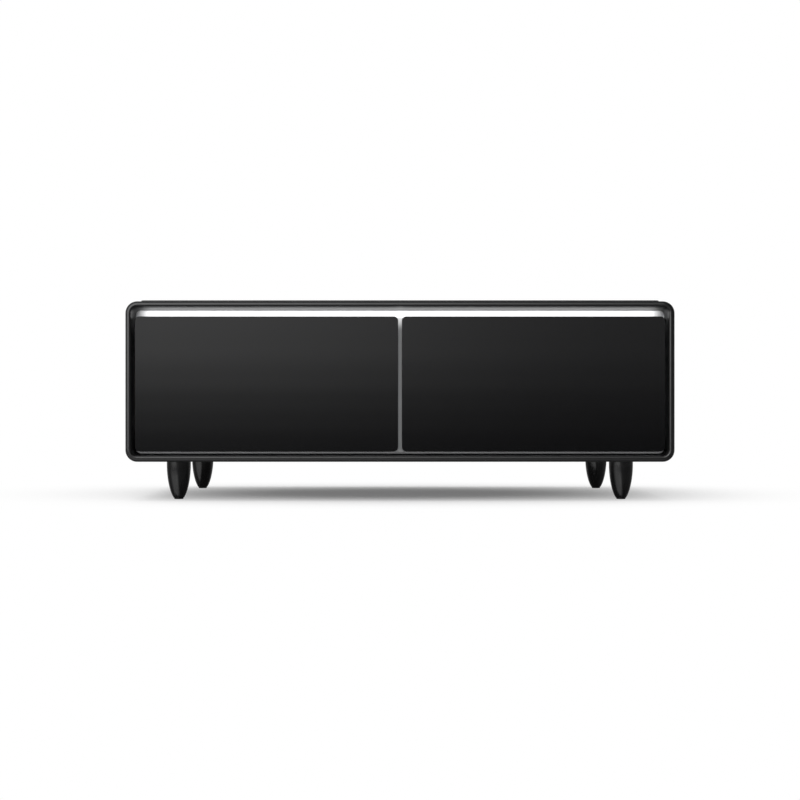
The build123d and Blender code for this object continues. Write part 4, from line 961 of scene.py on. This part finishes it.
def sill():
    """U-shaped sill: up, round a corner, across, round the other corner and up."""
    reach = trim_high.x - SILL / 2
    radius = SILL_CORNER - SILL / 2
    base = trim_low.z + SILL / 2
    t = np.linspace(0, np.pi / 2, 12)
    bend = np.stack([reach - radius + radius * np.cos(t), base + radius - radius * np.sin(t)], -1)
    start = np.array([[reach, trim_low.z + SILL_UP], [reach, base + radius + SILL]])
    half_path = np.concatenate([start, bend])
    path = np.concatenate([half_path, (half_path * [-1, 1])[::-1]])
    along = np.gradient(path, axis=0)
    along /= np.linalg.norm(along, axis=1)[:, None]
    return carried(path, np.stack([-along[:, 1], along[:, 0]], -1), SILL / 2)


def divider():
    """Upright between the drawers, from the sill to the lit band."""
    path = np.array([[0, trim_low.z + SILL / 2], [0, trim_high.z]])
    return carried(path, np.array([[1, 0], [1, 0]]), DIVIDER_HALF)


trim_piece = new_piece("pale_trim", [sill(), divider()], "front_trim")
print("pale trim:", len(trim_piece.data.polygons), "faces")

# %% [markdown]
# ## Legs
# A leg is turned: a short straight shoulder, then a side that follows a quarter of an ellipse
# down to a flat foot. The radius is a function of height, and the surface is that radius times
# (cos a, sin a) round the leg's axis.

# %% Turned legs
LEG_SHOULDER = 7 * MM
LEG_TAPER = 91.5 * MM         # height of the quarter ellipse
FOOT_ROUND = 1.2 * MM
CROWN = 0.6 * MM              # chamfer under the cabinet
LEG_ROWS, LEG_CROWD = 40, 0.7             # rows, which crowd towards the foot below 1


def leg_profile(low, high, radius):
    """Rows (radius, height) of a leg from its foot up."""
    shoulder = high - LEG_SHOULDER
    drop = np.linspace(1, 0, LEG_ROWS) ** LEG_CROWD * (shoulder - low)
    wide = radius * np.sqrt(1 - (drop / LEG_TAPER) ** 2)
    body = np.column_stack([wide, shoulder - drop])
    body[0, 1] = low + FOOT_ROUND
    foot = quarter(FOOT_ROUND, steps=5)[:-1, ::-1] + [wide[0] - FOOT_ROUND, low]
    return np.concatenate([foot, body, [[radius, high - CROWN], [radius - CROWN, high]]])


def turned(profile, centre_x, centre_y, points=72, closed=False):
    """Surface of revolution about an upright axis, from rows (radius, height)."""
    angle = round_angles(points)
    x = centre_x + profile[:, None, 0] * np.cos(angle)
    y = centre_y + profile[:, None, 0] * np.sin(angle)
    return skin_over(grid(x, y, profile[:, None, 1]), closed)


for name in [f"{side}_{end}" for side in SIDES for end in ("front", "rear")]:
    low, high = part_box(name + "_leg")
    shape = leg_profile(low.z, high.z, (high.y - low.y) / 2)
    new_piece(name + "_turned_leg",
              turned(shape, (low.x + high.x) / 2, (low.y + high.y) / 2), name + "_leg")
print("rows of a leg:", len(shape))

# %% [markdown]
# ## Compartments
# Each drawer runs in a white moulded box, drawn from one sheet of plastic, so every corner of it
# is round: upright corners, the corner with the back wall, and the lip at its mouth. The rings
# below run from the outside of the back wall, over the flange, and down the inside.

# %% Moulded compartments
LINER_WALL = 2.5 * MM
LINER_REACH = 12.5 * MM       # wall and flange, outside the opening
LINER_CORNER = 12 * MM
LINER_LIP = 2.0 * MM
LINER_BACK_ROUND = 16 * MM


def moulded_liner(low, high):
    """Compartment with its flange; rows (how far inside the opening, how deep)."""
    mouth, back = low.y, high.y - LINER_WALL
    turn = quarter(LINER_BACK_ROUND)
    outside = [-LINER_WALL, high.y - LINER_BACK_ROUND] + turn[::-1]
    flange = [[-LINER_WALL, mouth + LINER_WALL], [-LINER_REACH, mouth + LINER_WALL],
              [-LINER_REACH, mouth]]
    lip = quarter(LINER_LIP)[::-1, ::-1] * [-1, 1] + [0, mouth]
    inside = [0, back - LINER_BACK_ROUND] + turn
    rows = np.concatenate([outside, flange, lip, inside]) + [LINER_REACH, 0]
    return drawn_in(low, high, rows, LINER_CORNER + LINER_REACH, LINER_CORNER)


pairs(("compartment", "liner", moulded_liner))

# %% [markdown]
# ## Bins
# The bin in each drawer is a frosted, slightly tapered tub with a rolled rim. Its floor carries
# low ribs, which keep bottles off the wet. The tub is one stack of lying rings: under the
# floor, up the outside, over the rim and down the inside. A rib is half an ellipse across, and
# swells from nothing at both ends.

# %% Bins
BIN_WALL = 2.5 * MM
BIN_CORNER, BIN_CORNER_MIN = 16 * MM, 4 * MM
BIN_RIM, BIN_RIM_HIGH, BIN_RIM_ROUND = 4 * MM, 3 * MM, 0.9 * MM
BIN_ROUND = 9 * MM
BIN_TAPER = 3 * MM
RIB_COUNT, RIB_END = 7, 0.004             # the second keeps a rib's ends from closing to a point
RIB_HALF, RIB_HIGH, RIB_MARGIN = 3.5 * MM, 1.6 * MM, 28 * MM


def ribs(floor, start, end, near, far):
    """Ribs from start to end, with a height that follows the root of 1 - u to the sixth."""
    across = round_angles(16)
    along = np.cos(np.linspace(np.pi, 0, 21))
    swell = np.sqrt(np.maximum(1 - along ** 6, RIB_END))
    x = ((start + end) / 2 + along * (end - start) / 2)[:, None]
    z = floor + RIB_HIGH * np.outer(swell, np.sin(across))
    return [skin_over(grid(x, y + RIB_HALF * np.outer(swell, np.cos(across)), z))
            for y in np.linspace(near, far, RIB_COUNT)]


def storage_bin(low, high):
    """Tub with its ribs; the tub's rows are (how far inside the wall, how high)."""
    left, right, near, far = low.x + BIN_RIM, high.x - BIN_RIM, low.y, high.y - BIN_RIM
    turn = quarter(BIN_ROUND)
    outside = [BIN_TAPER, low.z + BIN_ROUND] + turn[::-1] * [1, -1]
    below, top = high.z - BIN_RIM_HIGH, high.z
    rim = [[0, below - 2 * MM], [-0.6 * BIN_RIM, below], [-BIN_RIM, below + 0.6 * MM],
           [-BIN_RIM, top - BIN_RIM_ROUND], [-0.75 * BIN_RIM, top], [0.4 * BIN_WALL, top],
           [BIN_WALL, top - BIN_RIM_ROUND]]
    inside = [BIN_WALL + BIN_TAPER, low.z + BIN_WALL + BIN_ROUND] + turn * [1, -1]
    rings = []
    for inset, z in np.concatenate([outside, rim, inside]):
        grown = max(-inset, 0)        # the rim stands out at the sides and the back, not in front
        loop = rounded_loop(left, right, near + grown, far, max(BIN_CORNER - inset, BIN_CORNER_MIN),
                            inset)
        rings.append(lying(loop, z))
    return [skin_over(rings), *ribs(low.z + BIN_WALL, left + RIB_MARGIN, right - RIB_MARGIN,
                                    near + 2 * RIB_MARGIN, far - 2 * RIB_MARGIN)]


pairs(("storage_bin", "bin", storage_bin))

# %% [markdown]
# ## Backs of the drawer fronts
# Behind each glass sits a white moulded tray full of foam, with rounded edges and a raised field
# inside the seal. Above it an aluminium rail stiffens the glass's upper edge, and its lip is
# what the fingers pull. The magnetic seal is a bellows: wide at its foot, pinched at its waist,
# and wide again round the magnet.

# %% Door trays, rails and seals
TRAY_CORNER, TRAY_CORNER_MIN = 8 * MM, 5 * MM
TRAY_ROUND = 2.5 * MM
FIELD_INSET, FIELD_RAISED = 22 * MM, 1.0 * MM
RAIL_WALL, RAIL_GROOVE, RAIL_ROUND = 3 * MM, 0.5 * MM, 0.275 * MM
SEAL_WIDE, SEAL_CORNER, SEAL_ROUND = 10 * MM, 5.5 * MM, 0.28 * MM
SEAL_LEAN = 0.35              # how much the corner radius gives way across the seal
SEAL_SECTION = np.array([[0, 0], [0.04, 0.10], [0.26, 0.22], [0.12, 0.36], [0.0, 0.50],
                         [0.0, 0.88], [0.08, 1.0], [0.92, 1.0], [1.0, 0.88], [1.0, 0.50],
                         [0.88, 0.36], [0.74, 0.22], [0.96, 0.10], [1.0, 0]])


def rounded_profile(points, radius, steps=4):
    """Closed polygon with each corner turned into a quadratic Bezier of a given reach."""
    points = np.asarray(points, float)
    before, after = (np.roll(points, step, axis=0) - points for step in (1, -1))
    start, end = (points + way * (radius / np.linalg.norm(way, axis=1))[:, None]
                  for way in (before, after))
    t = np.linspace(0, 1, steps)[None, :, None]
    bent = (1 - t) ** 2 * start[:, None] + 2 * t * (1 - t) * points[:, None] + t ** 2 * end[:, None]
    return bent.reshape(-1, 2)


def drawn_along_x(profile, left, right, chamfer=0.3 * MM):
    """A closed profile (depth, height) drawn from left to right, a little smaller at its ends."""
    middle = profile.mean(axis=0)
    size = np.abs(profile - middle).max()
    small = middle + (profile - middle) * (1 - chamfer / size)
    stations = ((left, small), (left + chamfer, profile), (right - chamfer, profile),
                (right, small))
    return skin_over([grid(x, *shape.T) for x, shape in stations])


def door_tray(low, high):
    """Tray behind the glass, with a raised field on its rear face."""
    rows = [[0, low.y], *(quarter(TRAY_ROUND) + [0, high.y - TRAY_ROUND]),
            [FIELD_INSET, high.y], [FIELD_INSET + FIELD_RAISED, high.y + 0.8 * FIELD_RAISED],
            [FIELD_INSET + 3 * FIELD_RAISED, high.y + FIELD_RAISED]]
    return drawn_in(low, high, rows, TRAY_CORNER, TRAY_CORNER_MIN)


def finger_rail(low, high):
    """Aluminium rail with its finger lip, and a fine groove along the lip."""
    inner, under = low.y + RAIL_WALL, high.z - RAIL_WALL
    middle = (inner + high.y) / 2
    shape = [[low.y, low.z], [inner, low.z], [inner, under], [high.y, under], [high.y, high.z],
             [middle + RAIL_GROOVE, high.z], [middle, high.z - RAIL_GROOVE],
             [middle - RAIL_GROOVE, high.z], [low.y, high.z]]
    return drawn_along_x(rounded_profile(shape, RAIL_ROUND), low.x, high.x)


def bellows_seal(low, high):
    """Seal with a pinched waist, carried round the tray's rear face."""
    section = rounded_profile(SEAL_SECTION * [SEAL_WIDE, high.y - low.y], SEAL_ROUND, steps=3)
    return skin_over([front_ring(low, high, inset, low.y + y, SEAL_CORNER - inset * SEAL_LEAN)
                      for inset, y in section], closed=True)


pairs(("door_tray", "door_panel", door_tray), ("finger_rail", "grip_rail", finger_rail),
      ("bellows_seal", "gasket", bellows_seal))

# %% [markdown]
# ## Bent sheet and drawn sections
# Slides, brackets, the face plate and the light channel are folded or rolled from sheet. Their
# measured forms are right already. What they lack is the small radius that every fold and cut
# edge has, and which catches the light. So each gets a merged copy of its mesh with a bevel.

# %% Dressed copies with softened edges
def join_flat(made):
    """Joins neighbouring faces that lie in one plane."""
    bmesh.ops.dissolve_limit(made, angle_limit=radians(1), verts=made.verts, edges=made.edges)


def dressed(name, width=0.35 * MM):
    """Copy of a measured node: doubles merged, flat faces joined, and every edge beveled."""
    mesh = frame["nodes"][name].data.copy()
    reworked(mesh, merge, join_flat)
    piece = bpy.data.objects.new(name + "_dressed", mesh)
    bevel = piece.modifiers.new("softened edges", "BEVEL")
    bevel.width = width
    bevel.segments = 2
    bevel.limit_method = "ANGLE"
    bevel.angle_limit = radians(35)
    bevel.use_clamp_overlap = True
    return settle(piece, name)


for side in SIDES:
    for member in ("slide_outer", "slide_middle", "slide_inner"):
        dressed(side + "_" + member, 0.25 * MM)
    dressed(side + "_front_brackets", 0.4 * MM)
PLAIN = ("face_plate", "light_channel", "leg_plates", "machine_tray", "bulkhead",
         "control_tray", "condenser", "fan_frame", "terminal_box", "drip_tray", "evaporators",
         "compartment_lamps", "temperature_sensors", "control_board", "touch_board")
for name in PLAIN:
    dressed(name)
print("dressed copies:", 4 * len(SIDES) + len(PLAIN))

# %% [markdown]
# ## The cooling machine
# Behind the bulkhead stand the compressor, the fan, the condenser and their copper lines. Most
# of these pieces are turned or bent, so each surface is a profile carried round an axis, or a
# circle carried along a route of straight runs joined by quarter bends.

# %% Turned and bent pieces
TUBE_RADIUS = 2.9 * MM
TUBE_BEND = 18 * MM
ASKEW = np.array([0.36, 0.48, 0.80])      # a direction that no run or bend ever points in


def turned_along_x(profile, centre_y, centre_z, points=40, closed=False):
    """Surface of revolution about an axis along X, from rows (place, radius)."""
    profile = np.asarray(profile, float)[:, ::-1]
    shape, faces = turned(profile, centre_y, centre_z, points, closed)
    return np.roll(shape, 1, axis=1), faces


def bent_tube(corners):
    """Tube along a route of straight runs and quarter bends.

    A bend from heading a to b is its corner + bend (a (sin t - 1) + b (1 - cos t))."""
    corners = np.asarray(corners, float)
    heading = np.diff(corners, axis=0)
    heading /= np.linalg.norm(heading, axis=1)[:, None]
    t = np.linspace(0, np.pi / 2, 9)[:, None]
    places, ways = [corners[:1]], [heading[:1]]
    for corner, a, b in zip(corners[1:-1], heading[:-1], heading[1:]):
        places.append(corner + TUBE_BEND * (a * (np.sin(t) - 1) + b * (1 - np.cos(t))))
        ways.append(a * np.cos(t) + b * np.sin(t))
    places = np.concatenate(places + [corners[-1:]])
    ways = np.concatenate(ways + [heading[-1:]])
    side = np.cross(ways, ASKEW)
    side /= np.linalg.norm(side, axis=1)[:, None]
    up = np.cross(side, ways)
    angle = round_angles(16)[None, :, None]
    circle = side[:, None] * np.cos(angle) + up[:, None] * np.sin(angle)
    return skin_over(places[:, None] + TUBE_RADIUS * circle)

# %% [markdown]
# The compressor is a steel pot welded from two halves, so a double lip runs round its middle.
# Its plan is an oval, its dome a quarter ellipse. It stands on a pressed foot plate, and the
# plate on four waisted rubber mounts that keep its hum out of the table.

# %% Compressor and its mounts
MOUNT_RADIUS = 10 * MM
MOUNT_ROWS = np.array([[9.2, 0], [10, 0.8], [10, 3], [8.2, 4.6], [7.6, 8], [8.2, 11.4], [10, 13],
                       [10, 15.2], [9.2, 16]]) * MM
POT_HALF = np.array([88, 59]) * MM
POT_FOOT, POT_BOWL, POT_STEP = 3 * MM, 14 * MM, 0.5 * MM
POT_DOME, POT_DOME_IN = 34 * MM, 52 * MM
LIP_ROWS = np.array([[0, -3], [-3, -2.6], [-3, -0.4], [-2.3, 0], [-3, 0.4], [-3, 2.6],
                     [0.5, 3]]) * MM      # inset and height about the welded seam
PLATE_HALF, PLATE_CORNER = np.array([100, 56]) * MM, 14 * MM
PLATE_ROWS = np.array([[0.8, 0], [0, 0.8], [0, 2.2], [0.8, 3]]) * MM
PORT_SIDE, PORT_RISE = 23.6 * MM, 37.5 * MM
PORT_ROWS = np.array([[0, 4.2], [0.6, 5.0], [7, 5.0], [7.6, 5.9], [9.4, 5.9], [10, 5.0],
                      [50, 5.0]]) * MM

pot_low, pot_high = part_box("compressor")
mount_low, mount_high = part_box("compressor_mounts")
POT_X, MACHINE_Y = (mount_low.x + mount_high.x) / 2, (mount_low.y + mount_high.y) / 2
PORT_Z = pot_low.z + POT_FOOT + PORT_RISE


def oval(inset, z):
    """Ring of the pot: half axes less inset times (cos a, sin a)."""
    angle = round_angles(96)
    return grid(POT_X + (POT_HALF[0] - inset) * np.cos(angle),
                MACHINE_Y + (POT_HALF[1] - inset) * np.sin(angle), z)


def compressor_pot():
    """Pot, foot plate and two ports."""
    floor, top = pot_low.z + POT_FOOT, pot_high.z
    seam = (floor + top - POT_DOME) / 2 + 3 * MM
    bowl = quarter(POT_BOWL)[::-1] * [1, -1] + [0, floor + POT_BOWL]
    dome = quarter(POT_DOME_IN, POT_DOME, steps=14) + [POT_STEP, top - POT_DOME]
    rows = np.concatenate([bowl, LIP_ROWS + [0, seam], dome])
    pot = skin_over([oval(*row) for row in rows])
    x, y = PLATE_HALF
    plate = skin_over([lying(rounded_loop(POT_X - x, POT_X + x, MACHINE_Y - y, MACHINE_Y + y,
                                          PLATE_CORNER - inset, inset), pot_low.z + z)
                       for inset, z in PLATE_ROWS])
    ports = [turned_along_x(PORT_ROWS + [pot_low.x, 0], MACHINE_Y + way * PORT_SIDE, PORT_Z,
                            points=24) for way in (-1, 1)]
    return new_piece("compressor_pot", [pot, plate, *ports], "compressor")


compressor_pot()
mounts = [turned(MOUNT_ROWS + [0, mount_low.z], x, y, points=32)
          for x in (mount_low.x + MOUNT_RADIUS, mount_high.x - MOUNT_RADIUS)
          for y in (mount_low.y + MOUNT_RADIUS, mount_high.y - MOUNT_RADIUS)]
new_piece("waisted_mounts", mounts, "compressor_mounts")
print("compressor stands at x =", round(POT_X, 3), "on", len(mounts), "mounts")

# %% [markdown]
# The filter drier is a copper cartridge, swaged down to the tubes at both ends. The discharge
# line rises beside the compressor, crosses over the fan and drops into the condenser. The
# suction line and the capillary go through the bulkhead into the foam.

# %% Filter drier and copper lines
SWAGE = 14 * MM
GROOVE_ROWS = np.array([[3, 0], [4, -0.8], [5, 0]]) * MM      # past the swage, and inwards

drier_low, drier_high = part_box("filter_drier")
condenser_low, condenser_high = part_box("condenser")
bulkhead_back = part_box("bulkhead")[1].y
drier_radius = (drier_high.z - drier_low.z) / 2
drier_z = (drier_low.z + drier_high.z) / 2

u = np.linspace(0, 1, 12)
swaged = TUBE_RADIUS + (drier_radius - TUBE_RADIUS) * (1 - np.cos(np.pi * u)) / 2
half = np.concatenate([np.column_stack([drier_low.x + SWAGE * u, swaged]),
                       GROOVE_ROWS + [drier_low.x + SWAGE, drier_radius]])
other = (half * [-1, 1] + [drier_low.x + drier_high.x, 0])[::-1]
cartridge = turned_along_x(np.concatenate([half, other]), MACHINE_Y, drier_z, points=48)
new_piece("drier_cartridge", cartridge, "filter_drier")

over = condenser_high.z + 2 * TUBE_BEND
riser = pot_low.x - 2 * TUBE_BEND
middle_x = (condenser_low.x + condenser_high.x) / 2
back, near = MACHINE_Y + PORT_SIDE, MACHINE_Y - PORT_SIDE
left_end = drier_low.x - 2 * TUBE_BEND
routes = [
    [(pot_low.x, back, PORT_Z), (riser, back, PORT_Z), (riser, back, over),
     (middle_x, back, over), (middle_x, back, condenser_high.z)],
    [(pot_low.x, near, PORT_Z), (riser, near, PORT_Z), (riser, bulkhead_back, PORT_Z)],
    [(drier_low.x, MACHINE_Y, drier_z), (left_end, MACHINE_Y, drier_z),
     (left_end, bulkhead_back, drier_z)],
    [(drier_high.x, MACHINE_Y, drier_z), (condenser_low.x, MACHINE_Y, drier_z)],
]
new_piece("copper_lines", [bent_tube(route) for route in routes], "refrigerant_lines")
print("copper lines:", len(routes))

# %% [markdown]
# The fan's rotor is one moulding. A blade is an arched section that turns flatter towards the
# tip, sweeps forward, and wraps round the axis, so its tip stays at one distance from the frame.

# %% Fan rotor
HUB_RADIUS, HUB_CHAMFER, BORE = 20 * MM, 0.4 * MM, 2.1 * MM
HUB_NOSE_LONG, HUB_NOSE_IN = 5 * MM, 6 * MM           # rounding of its nose, along and inwards
BLADES, BLADE_TIP = 7, 53 * MM
BLADE_ROOT = 1 * MM           # how far a blade starts inside the hub
BLADE_ARCH = 1.3 * MM
CHORD, CHORD_GAIN, CHORD_LOSS = 15, 4, 3      # millimetres: root, gain, and the tip's rounding
PITCH, TWIST = 42, 14         # degrees at the root, and how many more at the tip
THICK, THINNER = 0.8, 0.25    # millimetres from the middle of a blade to its face, and the loss
SWEEP = radians(14)

rotor_low, rotor_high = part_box("fan_rotor")
fan_low, fan_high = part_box("fan_frame")
FAN_Z = (fan_low.z + fan_high.z) / 2


def blade(turn):
    """Blade as sections at radius r: axial s cos b - h sin b, arc length s sin b + h cos b."""
    share = np.linspace(0, 1, 12)[:, None]
    r = HUB_RADIUS - BLADE_ROOT + (BLADE_TIP - HUB_RADIUS + BLADE_ROOT) * share
    chord = (CHORD + CHORD_GAIN * share - CHORD_LOSS * share ** 6) * MM
    pitch = np.radians(PITCH + TWIST * share)
    around = round_angles(20)[None, :]
    s = chord / 2 * np.cos(around)
    h = ((THICK - THINNER * share) * MM * np.sin(around)
         + BLADE_ARCH * (1 - np.cos(around) ** 2))
    angle = (s * np.sin(pitch) + h * np.cos(pitch)) / r + SWEEP * share + turn
    x = (rotor_low.x + rotor_high.x) / 2 + s * np.cos(pitch) - h * np.sin(pitch)
    return skin_over(grid(x, MACHINE_Y + r * np.cos(angle), FAN_Z + r * np.sin(angle)))


nose = ([rotor_low.x + HUB_NOSE_LONG, HUB_RADIUS]
        - quarter(HUB_NOSE_IN, HUB_NOSE_LONG, steps=8)[::-1, ::-1])
hub = np.concatenate([[[rotor_low.x, BORE]], nose,
                      [[rotor_high.x - HUB_CHAMFER, HUB_RADIUS],
                       [rotor_high.x, HUB_RADIUS - HUB_CHAMFER], [rotor_high.x, BORE]]])
parts = [turned_along_x(hub, MACHINE_Y, FAN_Z, points=64, closed=True)]
parts += [blade(turn) for turn in round_angles(BLADES)]
new_piece("moulded_rotor", parts, "fan_rotor")
print("fan blades:", BLADES)

# %% [markdown]
# ## The back
# The rear panel is painted sheet with two fields of louvres. A louvre is pressed out of the
# sheet: closed above and at its ends, open below, so that warm air leaves and nothing falls in.
# Across its height the bulge follows a quarter ellipse, and along its length it swells quickly
# from both ends and then stays level. The slots behind the louvres are real holes.

# %% Rear panel with pressed louvres
LOUVRE_DEEP = 3.2 * MM
LOUVRE_SHEET = 0.8 * MM
LOUVRE_ABOVE, LOUVRE_BELOW = 3.0 * MM, 0.3 * MM       # past the slot
LOUVRE_OVER = 4 * MM                                  # past the slot's ends
VENT_LENGTH, VENT_HIGH, VENT_PITCH, VENT_COUNT = 150 * MM, 5 * MM, 13 * MM, 8
VENT_FIRST = 134.5 * MM
VENT_CENTRES = (-300 * MM, 230 * MM)


def louvre(centre_x, slot_low):
    """One pressed louvre: a thin shell over its slot, open below."""
    along = np.cos(np.linspace(np.pi, 0, 25))
    swell = np.sqrt(np.maximum(1 - along ** 8, 0.0))
    v = np.linspace(0, 1, 8)
    top, bottom = slot_low + VENT_HIGH + LOUVRE_ABOVE, slot_low - LOUVRE_BELOW
    height = top + (bottom - top) * v
    rise = np.sqrt(1 - (1 - v) ** 2)
    outer = (PANEL_BACK - LOUVRE_SHEET / 2
             + (LOUVRE_DEEP + LOUVRE_SHEET / 2) * np.outer(swell, rise))
    y = np.concatenate([outer, (outer - LOUVRE_SHEET)[:, ::-1]], axis=1)
    x = (centre_x + along * (VENT_LENGTH / 2 + LOUVRE_OVER))[:, None]
    z = np.concatenate([height, height[::-1]])
    return skin_over(grid(x, y, z))


dressed("rear_panel", 0.3 * MM)
louvres = [louvre(x, VENT_FIRST + i * VENT_PITCH) for x in VENT_CENTRES for i in range(VENT_COUNT)]
new_piece("louvres", louvres, "rear_panel", stands_for=False)
print("louvres:", len(louvres))

# %% [markdown]
# A large flat sheet would drum, so a field is pressed out of its upper part, a little over a
# millimetre high. It is a stack of rounded rectangles whose sides slope like the press tool's.

# %% Pressed field
FIELD_SIDE, FIELD_LOW, FIELD_HIGH = 560 * MM, 262 * MM, 402 * MM
FIELD_CORNER = 20 * MM
FIELD_RISE, FIELD_ROOT = 1.4 * MM, 0.3 * MM           # above the sheet, and down into it
FIELD_SLOPE = 5 * MM


def pressed_field():
    """Rings (inset, rise): the rise follows (1 - cos t) / 2 across the slope."""
    t = np.linspace(0, np.pi, 9)
    slope = np.column_stack([FIELD_SLOPE * t / np.pi, FIELD_RISE * (1 - np.cos(t)) / 2])
    return skin_over([upright(rounded_loop(-FIELD_SIDE, FIELD_SIDE, FIELD_LOW, FIELD_HIGH,
                                           FIELD_CORNER - inset, inset), PANEL_BACK + rise)
                      for inset, rise in np.concatenate([[[0, -FIELD_ROOT]], slope])])


new_piece("pressed_field", pressed_field(), "rear_panel", stands_for=False)
print("pressed field:", round(2 * FIELD_SIDE, 3), "by", round(FIELD_HIGH - FIELD_LOW, 3), "m")

# %% [markdown]
# The panel's screws have a hexagon head with a turned washer face under it. Round the head, the
# radius is the flat's distance divided by the cosine of the angle from the middle of that flat.

# %% Rear screws
SCREW_RADIUS, SCREW_CHAMFER = 4 * MM, 0.35 * MM
WASHER_RADIUS, WASHER_HIGH, WASHER_CHAMFER = 5.2 * MM, 0.6 * MM, 0.3 * MM
SCREW_TOP = 0.86              # the head's upper face, as a share of its radius
SCREW_COLUMNS = 5

screw_low, screw_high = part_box("rear_screws")


def hexagon_head(centre_x, centre_z):
    """Washer face and hexagon head, as rings about the screw's axis."""
    angle = round_angles(48)
    flat = np.cos(np.pi / 6) / np.cos(np.mod(angle, np.pi / 3) - np.pi / 6)
    foot, top = screw_low.y, screw_high.y
    rows = [(WASHER_RADIUS, 1, foot), (WASHER_RADIUS, 1, foot + 0.6 * WASHER_HIGH),
            (WASHER_RADIUS - WASHER_CHAMFER, 1, foot + WASHER_HIGH),
            (SCREW_RADIUS, flat, foot + WASHER_HIGH), (SCREW_RADIUS, flat, top - SCREW_CHAMFER),
            (SCREW_RADIUS * SCREW_TOP, 1, top)]
    return skin_over([grid(centre_x + radius * shape * np.cos(angle), y,
                           centre_z + radius * shape * np.sin(angle))
                      for radius, shape, y in rows])


reach = screw_high.x - SCREW_RADIUS
heads = [hexagon_head(x, z) for x in np.linspace(-reach, reach, SCREW_COLUMNS)
         for z in (screw_low.z + SCREW_RADIUS, screw_high.z - SCREW_RADIUS)]
new_piece("hexagon_screws", heads, "rear_screws", crisp=radians(25))
print("rear screws:", len(heads))

# %% [markdown]
# The mains inlet is a moulded socket with a flange, rounded at every edge, and three plated pins.

# %% Mains inlet
INLET_BODY = 6.2 * MM         # the body's inset from the flange's edge
INLET_FLANGE = 2.5 * MM       # its depth
INLET_WALL = 2.5 * MM
PIN_WIDE, PIN_HIGH, PIN_LENGTH = 2 * MM, 4 * MM, 14 * MM
PIN_PITCH, PIN_DROP = 7 * MM, 3.5 * MM
PIN_TIP = np.array([[0, -1.2], [0.25, -0.4], [0.6, 0]]) * MM      # inset, and place from its end

inlet_low, inlet_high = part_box("mains_inlet")
inlet_x, inlet_z = (inlet_low.x + inlet_high.x) / 2, (inlet_low.z + inlet_high.z) / 2


def socket():
    """Body, flange and cavity in one stack of rings; rows (inset, depth, corner)."""
    out, back, cavity = inlet_high.y, inlet_low.y, INLET_BODY + INLET_WALL
    rows = [(INLET_BODY, back, 2), (INLET_BODY, out - INLET_FLANGE, 2), (0, out - INLET_FLANGE, 4),
            (0, out - 0.8 * MM, 4), (0.3 * MM, out - 0.25 * MM, 3.7), (0.9 * MM, out, 3.2),
            (cavity - 0.8 * MM, out, 3), (cavity - 0.2 * MM, out - 0.3 * MM, 2.8),
            (cavity, out - 1 * MM, 2.6), (cavity, back + INLET_WALL, 2.6)]
    return skin_over([front_ring(inlet_low, inlet_high, inset, y, corner * MM, steps=8)
                      for inset, y, corner in rows])


def pin(step, rise):
    """Flat pin with a rounded tip."""
    x, z = inlet_x + step * PIN_PITCH, inlet_z + rise
    start = inlet_low.y + INLET_WALL
    return skin_over([upright(rounded_loop(x - PIN_WIDE / 2, x + PIN_WIDE / 2, z - PIN_HIGH / 2,
                                           z + PIN_HIGH / 2, 0.3 * MM, inset, steps=4), y)
                      for inset, y in [(0, start), *(PIN_TIP + [0, start + PIN_LENGTH])]])


new_piece("inlet_socket", socket(), "mains_inlet")
pins = [pin(-1, -PIN_DROP / 2), pin(0, PIN_DROP / 2), pin(1, -PIN_DROP / 2)]
new_piece("inlet_pins", pins, "leg_plates", stands_for=False)
print("inlet pins:", len(pins))

# %% [markdown]
# ## Feet
# Under each leg is a thin pad of felt, with its edge slightly crushed.

# %% Felt pads
PAD_RADIUS, PAD_HIGH, PAD_EDGE = 11 * MM, 2 * MM, 0.5 * MM
pad_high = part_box("foot_pads")[1]


def felt_pad(x, y):
    """Disc with a soft edge."""
    edge = pencil_edge(PAD_HIGH / 2, PAD_EDGE, steps=7) * [-1, 1]
    return turned(edge + [PAD_RADIUS, PAD_HIGH / 2], x, y, points=48)


pad_x, pad_y = pad_high.x - PAD_RADIUS, pad_high.y - PAD_RADIUS
pads = [felt_pad(x, y) for x in (-pad_x, pad_x) for y in (-pad_y, pad_y)]
new_piece("felt_pads", pads, "foot_pads")
print("felt pads:", len(pads))
